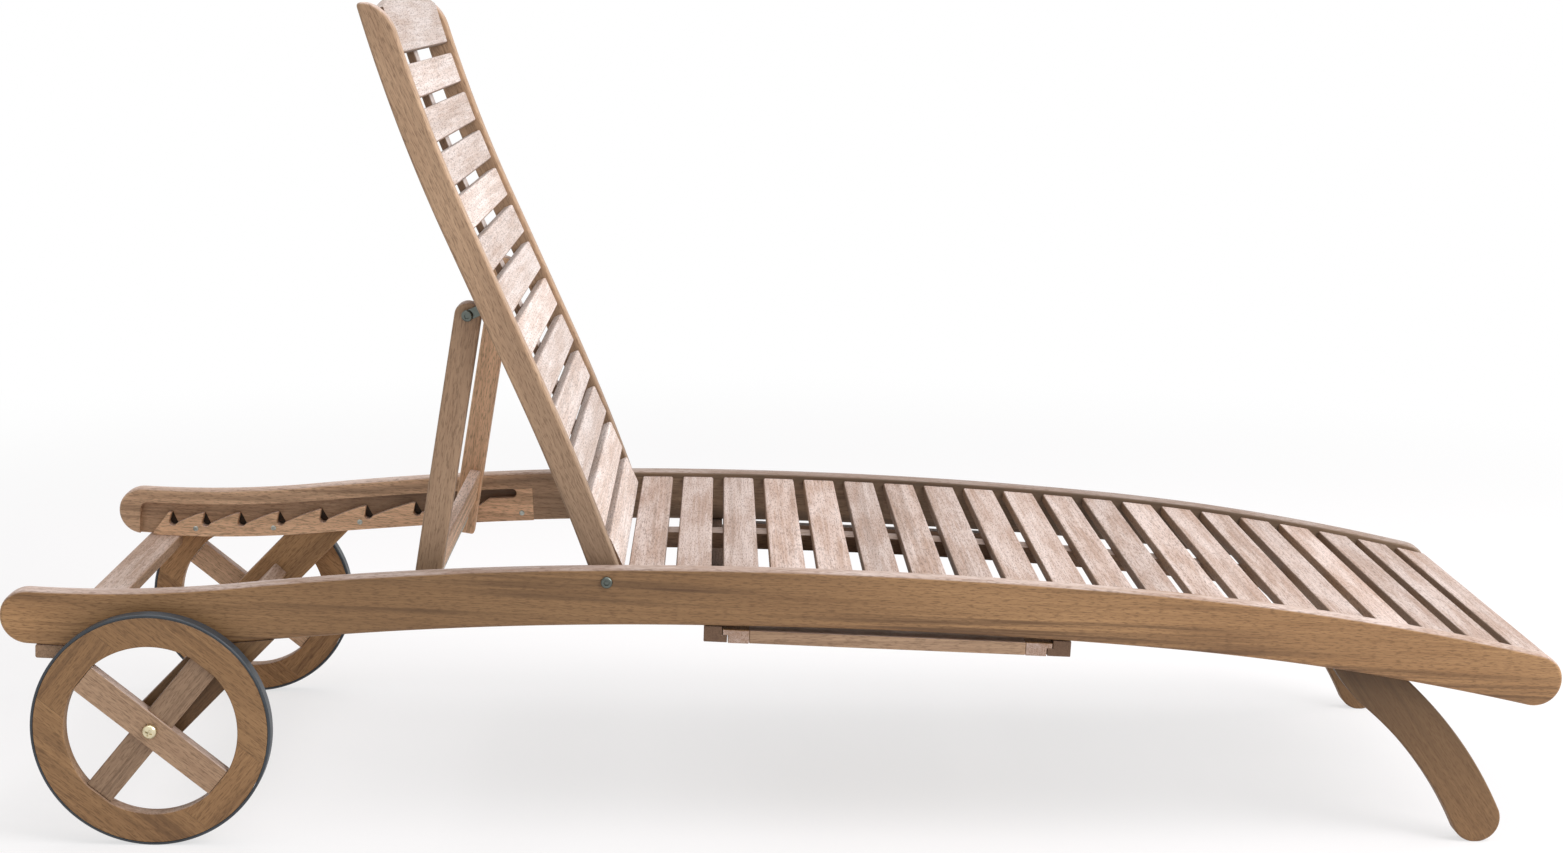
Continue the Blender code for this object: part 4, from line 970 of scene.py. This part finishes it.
def make_legs():
    """Front legs shouldered under the rails, and back legs that carry the axle."""
    for name, side in SIDES:
        cutters = leg_cutters(side)
        outer = WIDTH / 2 - FRONT_LEG_SET_IN
        front = board(front_leg_outline(), *span(side, outer, outer - FRONT_LEG_THICK), BAR_EDGE)
        half = BACK_LEG_THICK / 2
        back = board(back_leg_outline(), *span(side, RAIL_MIDDLE - half, RAIL_MIDDLE + half), THIN_EDGE)
        for kind, node, shape, angle, tone in (
                ("bowed_leg_", "front_leg_", front, FRONT_LEG_GRAIN, FRONT_LEG_TONE_AND_SHADOW),
                ("axle_leg_", "back_leg_", back, BACK_LEG_ANGLE, BACK_LEG_TONES_AND_SHADE[name])):
            leg = mesh_object(kind + name, shape, leg_wood)
            carve(leg, *cutters)
            regrain(leg, angle, tone)
            keep(leg, "frame", "rail_wood", node + name)


def make_cross_pieces():
    """The head cross bar under the rails, and the beam between the back legs."""
    turn = atan(rail_line(HEAD_BAR_X)[1])
    drop = GAP + HEAD_BAR_THICK / 2
    size = (WIDTH - 2 * HEAD_BAR_INSET, HEAD_BAR_WIDTH, HEAD_BAR_THICK)
    shape = cross_bars(HEAD_BAR_X + drop * sin(turn), rail_bottom(HEAD_BAR_X) - drop * cos(turn), turn, size,
                       BAR_EDGE, HEAD_BAR_TONE)
    piece("head_bar", shape, pale_wood, "frame", "slat_wood", "head_cross_bar")
    size = (2 * (RAIL_MIDDLE - BACK_LEG_THICK / 2 - GAP), AXLE_BEAM_WIDTH, AXLE_BEAM_THICK)
    shape = cross_bars(WHEEL_X + AXLE_BEAM_UP * cos(BACK_LEG_ANGLE),
                       WHEEL_RADIUS + AXLE_BEAM_UP * sin(BACK_LEG_ANGLE), BACK_LEG_ANGLE, size, BAR_EDGE)
    piece("leg_beam", shape, leg_wood, "frame", "rail_wood", "axle_beam")


# Backrest

def back_point(ahead, up):
    """X and Z of a point ahead of the hinge and up along the stile."""
    c = cos(BACK_LEAN)
    s = sin(BACK_LEAN)
    return HINGE_X + ahead * c - up * s, HINGE_Z + ahead * s + up * c


def back_board(outline, y_low, y_high, edge):
    """An upright board from an outline (ahead, up) in the backrest's plane."""
    return board(outline, y_low, y_high, edge, (HINGE_X, HINGE_Z), -BACK_LEAN)


def stile_line(up):
    """Middle line of a stile: its place ahead of the hinge, and its slope."""
    top = np.maximum(0.0, up - STILE_TOP_BEND)
    foot = np.maximum(0.0, STILE_FOOT_BEND - up)
    ahead = STILE_AHEAD + top ** 2 / (2 * STILE_TOP_RADIUS) - foot ** 2 / (2 * STILE_FOOT_RADIUS)
    return ahead, top / STILE_TOP_RADIUS + foot / STILE_FOOT_RADIUS


def off_line(line, up, out):
    """Points out from a line (ahead, slope), square to it."""
    ahead, slope = line(up)
    long = np.hypot(1.0, slope)
    return columns(ahead + out / long, up - out * slope / long)


def slat_face(up):
    """Front of the back slats: straight up to the bend, then bent with the stiles."""
    ahead, slope = stile_line(np.maximum(up, STILE_FOOT_BEND))
    return ahead + STILE_WIDTH / 2 - BACK_SLAT_RECESS, slope


def slat_place(up):
    """X and Z of the middles of back slats or head board, and their lean about Y."""
    ahead, slope = slat_face(up)
    turn = np.arctan(slope)
    half = BACK_SLAT_THICK / 2
    return *back_point(ahead - half * np.cos(turn), up + half * np.sin(turn)), turn - BACK_LEAN


def stile_outline():
    """A stile: bent forward at the top, round at the foot, with an eased shoulder."""
    half = STILE_WIDTH / 2
    rear = off_line(stile_line, np.linspace(0.0, STILE_HEIGHT - STILE_TIP, num=70), -half)
    turn = np.linspace(asin(STILE_TIP / STILE_WIDTH), QUARTER, num=26)
    shoulder = off_line(stile_line, STILE_HEIGHT - STILE_SHOULDER * (1 - np.cos(turn)),
                        STILE_WIDTH * np.sin(turn) - half)
    corner = off_line(stile_line, STILE_HEIGHT, -half)
    t = np.linspace(0.0, 1.0, num=8)[1:-1, None]
    tip = (1 - t) ** 2 * rear[-1] + 2 * t * (1 - t) * corner + t ** 2 * shoulder[0]
    front = off_line(stile_line, np.linspace(STILE_FRONT_TOP, 0.0, num=66), half)
    ahead, slope = stile_line(0.0)
    heel = arc((ahead, 0.0), half, -atan(slope), -atan(slope) - pi, count=30)
    return path(rear, tip, shoulder, front, heel[1:-1])


STILE_TONE = fading(2, (0.3, 0.45, 0.6, 1.1), (0.55, 0.72, 1.06, 1.12))
# Back slats and head board drawn paler as painted light from the foot side, most at the bottom, and darker at
# the top
BACK_TONE_AND_LIGHT = fading(2, (0.35, 0.8, 0.95, 1.02), (1.40, 1.16, 1.02, 0.62))


def make_backrest():
    """Stiles, slats on their batten, and the arched head board."""
    upright = BACK_LEAN + QUARTER
    for name, side in SIDES:
        shape = back_board(stile_outline(), *span(side, STILE_INNER, STILE_OUTER), STILE_EDGE)
        shape = grained(shape, upright, STILE_TONE)
        piece("stile_" + name, shape, pale_wood, "backrest", "rail_wood", "back_stile_" + name)

    length = 2 * (STILE_INNER - GAP)
    board_foot = BACK_SLAT_START + BACK_SLATS * BACK_SLAT_PITCH
    first = BACK_SLAT_START + BACK_SLAT_WIDTH / 2
    x, z, lean = slat_place(first + np.arange(BACK_SLATS) * BACK_SLAT_PITCH)
    slats = cross_bars(x, z, QUARTER - lean, (length, BACK_SLAT_WIDTH, BACK_SLAT_THICK), BAR_EDGE,
                       BACK_TONE_AND_LIGHT(columns(x, 0.0, z))[:, None])
    up = np.linspace(first, board_foot + BATTEN_OVERLAP, num=50)
    behind = -BACK_SLAT_THICK - 2 * GAP
    outline = path(off_line(slat_face, up, behind),
                   off_line(slat_face, up[::-1], behind - BACK_BATTEN_THICK))
    half = BACK_BATTEN_WIDTH / 2
    batten = grained(back_board(outline, BACK_BATTEN_Y - half, BACK_BATTEN_Y + half, THIN_EDGE), upright)
    piece("back_slats", joined(slats, batten), back_wood, "backrest", "slat_wood", "back_slat_panel")

    half = length / 2
    low = -HEAD_BOARD_HEIGHT / 2
    across = np.linspace(half, -half, num=60)
    arch = columns(across, -low + HEAD_BOARD_RISE * (1 - (across / half) ** 2))
    outline = path([[-half, low], [half, low]], arch)
    points, faces = plank(outline, -BACK_SLAT_THICK / 2, BACK_SLAT_THICK / 2, BAR_EDGE)
    x, z, lean = slat_place(np.array(board_foot + HEAD_BOARD_HEIGHT / 2))
    y, v, h = points.T
    s = sin(lean)
    c = cos(lean)
    world = columns(x + v * s + h * c, y, z + v * c - h * s)
    shift = figure.uniform(*FIGURE_SPAN, 3)
    grain = columns(*(points + shift).T, BACK_TONE_AND_LIGHT(world))
    piece("arched_head_board", (world, faces, grain), back_wood, "backrest", "slat_wood", "head_board")


# Prop

PROP_TONES = {"right": fading(2, (0.62, 0.68), (0.74, 1.05)), "left": PALE_AND_LIT_TONE}
STRETCHER_TONE = 1.9


def make_prop():
    """Prop legs with round heads, the stretcher between them, and the rod."""
    pivot = back_point(-PIVOT_BEHIND, PIVOT_UP)
    rod_x, rod_z, length = rod_place()
    half = PROP_WIDTH / 2
    foot = -length - PROP_TAIL
    lower = rounded([[-half, 0.0], [-half, foot], [half, foot], [half, 0.0]], PROP_CORNERS)
    outline = path(arc((0.0, 0.0), half, 0.0, pi, count=36), lower[CORNER_STEPS:-CORNER_STEPS])
    for name, side in SIDES:
        shape = board(outline, *span(side, PROP_INNER, PROP_OUTER), STILE_EDGE, pivot, PROP_LEAN)
        shape = grained(shape, QUARTER - PROP_LEAN, PROP_TONES[name])
        piece("prop_post_" + name, shape, pale_wood, "prop", "rail_wood", "prop_leg_" + name)
    up = STRETCHER_UP - length
    shape = cross_bars(pivot[0] + STRETCHER_AHEAD * cos(PROP_LEAN) + up * sin(PROP_LEAN),
                       pivot[1] - STRETCHER_AHEAD * sin(PROP_LEAN) + up * cos(PROP_LEAN), QUARTER - PROP_LEAN,
                       (2 * (PROP_INNER - GAP), STRETCHER_HEIGHT, STRETCHER_THICK), BAR_EDGE, STRETCHER_TONE)
    piece("prop_board", shape, pale_wood, "prop", "slat_wood", "prop_stretcher")
    end = RAIL_INNER - ROD_END_PLAY
    half = [(0.0, end, 0), (ROD_RADIUS - ROD_EASE, end, 0), (ROD_RADIUS, end - ROD_EASE, 0)]
    piece("rest_rod", turned(mirrored(half), (rod_x, 0.0, rod_z), 1), zinc, "prop", "steel", "prop_rod")


def make_brackets():
    """The brackets on the stiles, and the bolts on which the prop turns."""
    x, z = back_point(-PIVOT_BEHIND, PIVOT_UP)
    far = float(slat_face(PIVOT_UP)[0]) - BACK_SLAT_THICK - BRACKET_PLAY - BRACKET_RADIUS
    outline = path(arc((-PIVOT_BEHIND, PIVOT_UP), BRACKET_RADIUS, QUARTER, 3 * QUARTER, count=24),
                   arc((far, PIVOT_UP), BRACKET_RADIUS, -QUARTER, QUARTER, count=24))
    outer = BRACKET_INNER + BRACKET_THICK
    for name, side in SIDES:
        shape = back_board(outline, *span(side, BRACKET_INNER, outer), PLATE_EDGE)
        piece("bracket_" + name, shape, dark_steel, "backrest", "steel", "prop_bracket_" + name)
        shape = socket_bolt((x, side * outer, z), side, BRACKET_THICK + GAP + PROP_THICK)
        piece("pivot_bolt_" + name, shape, dark_steel, "backrest", "steel", "prop_pivot_bolt_" + name)


# Wheels and fastenings

def mirrored(half):
    """A profile whose inner half repeats its outer half."""
    return half + [(radius, -out, six) for radius, out, six in reversed(half)]


def socket_head(radius, thick):
    """Profile of a button head, from the floor of its six-sided socket to its rim."""
    socket = SOCKET_RADIUS * radius
    floor = SOCKET_FLOOR * thick
    dome = [(across * radius, up * thick, 0) for across, up in HEAD_DOME]
    return [(0.0, floor, 1), (socket, floor, 1), (socket, SOCKET_BRIM * thick, 1),
            (SOCKET_FLARE * socket, thick, 0), *dome, (radius, GAP, 0)]


def socket_bolt(place, side, grip):
    """A bolt along Y: its head seats at place, and a nut closes it, grip further in."""
    profile = socket_head(BOLT_HEAD_RADIUS, BOLT_HEAD_THICK)
    profile += [(BOLT_RADIUS, GAP, 0), (BOLT_RADIUS, -grip - GAP, 0), (NUT_RADIUS, -grip - GAP, 1),
                (NUT_RADIUS, -grip - NUT_THICK, 1), (0.0, -grip - NUT_THICK, 1)]
    return turned(profile, place, side)


def socket_screw(place, side):
    """A small screw: its head on the wood and its stem in it."""
    profile = socket_head(SCREW_HEAD_RADIUS, SCREW_HEAD_THICK)
    profile += [(SCREW_RADIUS, GAP, 0), (SCREW_RADIUS, -SCREW_SHANK, 0), (0.0, -SCREW_TIP, 0)]
    return turned(profile, place, side, steps=24)


def rim_segment(turn, long, middle):
    """A segment of a rim: a section with rounded corners carried from one joint to the next.

    Both joints lie at RIM_JOINT from the line through the hub at the angle turn, so the sweep at a radius r
    ends at asin(RIM_JOINT / r) from it: a short segment spans the line, a long one lies beside it. The inner
    edge is flat where a spoke meets it.
    """
    section = rounded(box(RIM_INNER, RIM_OUTER, WHEEL_THICK / 2), RIM_EDGES, steps=3)
    radius, h = section[::-1].T
    slit = JOINT_SLIT if long else -JOINT_SLIT
    edge = np.arcsin((RIM_JOINT + slit) / radius)
    start = edge if long else -edge
    end = pi - edge if long else edge
    rows = LONG_RIM_ROWS if long else SHORT_RIM_ROWS
    angle = start + (end - start) * np.linspace(0.0, 1.0, rows)[:, None]
    spoke = (angle + QUARTER / 2) % QUARTER - QUARTER / 2
    inward = (RIM_OUTER - radius) / (RIM_OUTER - RIM_INNER)
    flat = np.minimum(RIM_INNER, SPOKE_REACH / np.cos(spoke)) - RIM_INNER
    reach = radius + flat * inward ** 2
    points = columns(WHEEL_X + reach * np.cos(angle + turn), middle - h,
                     WHEEL_RADIUS + reach * np.sin(angle + turn))
    return points.reshape(-1, 3), capped_faces(rows, len(section))


RIM_TONES = (0.85, 1.02)
WHEEL_TONES = {"right": 1.0, "left": 1.35}
SPOKE_TONES = {"front": 1.10, "rear": 0.78}


def make_rim(name, middle):
    """A rim of four segments: two that span the front spoke's line, and two beside it."""
    segments = []
    for turn, long in ((0.0, False), (0.0, True), (pi, False), (pi, True)):
        shape = rim_segment(SPOKE_ANGLE + turn, long, middle)
        tone = figure.uniform(*RIM_TONES) * WHEEL_TONES[name]
        segments.append(grained(shape, SPOKE_ANGLE + (0.0 if long else QUARTER), tone))
    piece("rim_" + name, joined(*segments), wheel_wood, name + "_wheel", "wheel_wood", "wheel_rim_" + name)


def make_spokes(name, side, middle):
    """A cross of two bars, half-lapped at the hub."""
    end = SPOKE_REACH - GAP
    wide = SPOKE_WIDTH / 2
    thick = SPOKE_THICK / 2
    bar = rounded(box(-end, end, wide), SPOKE_CORNER)
    for place, shift, turn in (("front", side * SPOKE_SHIFT, 0.0), ("rear", -side * SPOKE_SHIFT, QUARTER)):
        angle = SPOKE_ANGLE + turn
        y = middle + shift
        shape = board(bar, y - thick, y + thick, SPOKE_EDGE, HUB, -angle, steps=3)
        spoke = mesh_object("spoke_%s_%s" % (place, name), shape, pale_wood)
        cut = sorted((middle, middle - copysign(WHEEL_THICK, shift)))
        carve(spoke, board(box(-wide, wide, wide), *cut, GAP / 2, HUB, -angle, steps=2))
        regrain(spoke, angle, SPOKE_TONES[place] * WHEEL_TONES[name])
        keep(spoke, name + "_wheel", "wheel_wood", "wheel_spokes_" + name)


def make_cap(name, side):
    """A domed cap nut with a cross slot."""
    turn = np.linspace(0.0, QUARTER, num=14)
    dome = columns(CAP_RADIUS * np.sin(turn), CAP_WAIST + (CAP_HEIGHT - CAP_WAIST) * np.cos(turn), 0.0)
    profile = dome.tolist() + [(CAP_RADIUS, GAP, 0), (0.0, GAP, 0)]
    shape = turned(profile, (WHEEL_X, side * WHEEL_OUTER, WHEEL_RADIUS), side)
    cap = mesh_object("hub_dome_" + name, shape, brass)
    top = WHEEL_OUTER + CAP_HEIGHT
    a = CROSS_REACH
    b = CROSS_WIDTH / 2
    cross = [[a, -b], [a, b], [b, b], [b, a], [-b, a], [-b, b], [-a, b], [-a, -b], [-b, -b], [-b, -a],
             [b, -a], [b, -b]]
    reach = span(side, top - CROSS_DEPTH, top + CAP_HEIGHT)
    carve(cap, board(cross, *reach, GAP / 4, HUB, CROSS_TURN, steps=2))
    keep(cap, "frame", "brassed_steel", "axle_cap_nut_" + name)


def make_wheels():
    """Two wheels, each with a rim, spokes, a tyre and a cap nut."""
    half = WHEEL_THICK / 2
    for name, side in SIDES:
        middle = side * (WHEEL_INNER + half)
        make_rim(name, middle)
        make_spokes(name, side, middle)
        section = rounded(box(RIM_OUTER + GAP, WHEEL_RADIUS, half), TYRE_EDGES, steps=5)
        tyre = turned_ring(section, (WHEEL_X, middle, WHEEL_RADIUS))
        piece("tyre_" + name, tyre, tyre_rubber, name + "_wheel", "tyre", "wheel_tyre_" + name)
        make_cap(name, side)


def make_axle_and_hinges():
    """The axle with its collars, and the bolts on which the backrest turns."""
    outer = WHEEL_INNER - GAP
    inner = RAIL_MIDDLE + BACK_LEG_THICK / 2 + GAP
    half = [(0.0, WHEEL_OUTER, 0), (AXLE_RADIUS, WHEEL_OUTER, 0), (AXLE_RADIUS, outer, 0),
            (COLLAR_RADIUS, outer, 0), (COLLAR_RADIUS, inner, 0), (AXLE_RADIUS, inner, 0)]
    axle = turned(mirrored(half), (WHEEL_X, 0.0, WHEEL_RADIUS), 1)
    piece("wheel_axle", axle, zinc, "frame", "steel", "axle")
    for name, side in SIDES:
        shape = socket_bolt((HINGE_X, side * WIDTH / 2, HINGE_Z), side, RAIL_THICK + STILE_PLAY + STILE_THICK)
        piece("hinge_pin_" + name, shape, dark_steel, "frame", "steel", "hinge_bolt_" + name)


# Tray and seat batten

SOLID_LOOKS = {"seat_batten": batten_wood, "tray_stop": batten_wood, "tray_panel": tray_board_wood,
               "tray_runner_head": runner_wood, "tray_runner_foot": runner_wood,
               "tray_side_head": tray_side_wood, "tray_side_foot": tray_side_wood}


def dress_solids():
    """The plain squared pieces under the seat stay, with eased edges and a finish."""
    for name, material in SOLID_LOOKS.items():
        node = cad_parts[name]
        node.data.materials.clear()
        node.data.materials.append(material)
        weld = node.modifiers.new("weld", "WELD")
        weld.merge_threshold = WELD
        ease = node.modifiers.new("eased_edges", "BEVEL")
        ease.width = SOLID_EDGE
        ease.segments = SOLID_STEPS
        ease.limit_method = "ANGLE"


# Stage

def make_floor():
    """A pale floor that fades into white away from the lounger."""
    look = Look(bpy.data.materials.new("pale_floor"))
    distance = look.node("VectorMath", {0: look.place()}, out=1, operation="LENGTH")
    cloth = look.node("BsdfDiffuse", {"Color": FLOOR_TINT})
    white = look.node("Emission", {"Color": WHITE, "Strength": 1.0})
    share = (distance.between(*FLOOR_FADE) * (1 - FLOOR_HAZE) + FLOOR_HAZE) * look.seen()
    look.end(look.node("MixShader", {0: share, 1: cloth, 2: white}))
    corners = columns(*np.array(box(-FLOOR_REACH, FLOOR_REACH, FLOOR_REACH)).T, 0.0)
    mesh_object("floor", (corners, [[0, 1, 2, 3]]), look.owner)


def make_light():
    """White surroundings, seen at full strength but lighting at a lower one, and soft lamps."""
    look = Look(bpy.data.worlds.new("studio"))
    strength = look.seen() * (1 - AMBIENT) + AMBIENT
    look.end(look.node("Background", {"Color": WHITE, "Strength": strength}), "World")
    scene.world = look.owner
    for name, place, size, power in LAMPS:
        light = bpy.data.lights.new(name, "AREA")
        light.size = size
        light.energy = power
        lamp = add(name, light)
        lamp.location = place
        beam = Vector((0.0, 0.0, HINGE_Z)) - Vector(place)
        lamp.rotation_euler = beam.to_track_quat("-Z", "Y").to_euler()


def make_camera():
    """The camera at the photograph's place, turned by yaw, pitch and roll."""
    forward = np.array([sin(EYE_YAW) * cos(EYE_PITCH), cos(EYE_YAW) * cos(EYE_PITCH), -sin(EYE_PITCH)])
    level = np.array([cos(EYE_YAW), -sin(EYE_YAW), 0.0])
    upright = np.cross(level, forward)
    pose = np.eye(4)
    pose[:3, 0] = cos(EYE_ROLL) * level + sin(EYE_ROLL) * upright
    pose[:3, 1] = cos(EYE_ROLL) * upright - sin(EYE_ROLL) * level
    pose[:3, 2] = -forward
    pose[:3, 3] = EYE
    lens = bpy.data.cameras.new("eye")
    lens.sensor_fit = "HORIZONTAL"
    lens.lens = lens.sensor_width * FOCAL_PIXELS / FRAME_PIXELS
    eye = add("eye", lens)
    eye.matrix_world = Matrix(pose.tolist())
    scene.camera = eye
    scene.view_settings.view_transform = "Standard"


make_floor()
make_light()
make_camera()
make_rails()
make_racks()
make_seat()
make_legs()
make_cross_pieces()
make_backrest()
make_prop()
make_brackets()
make_wheels()
make_axle_and_hinges()
dress_solids()
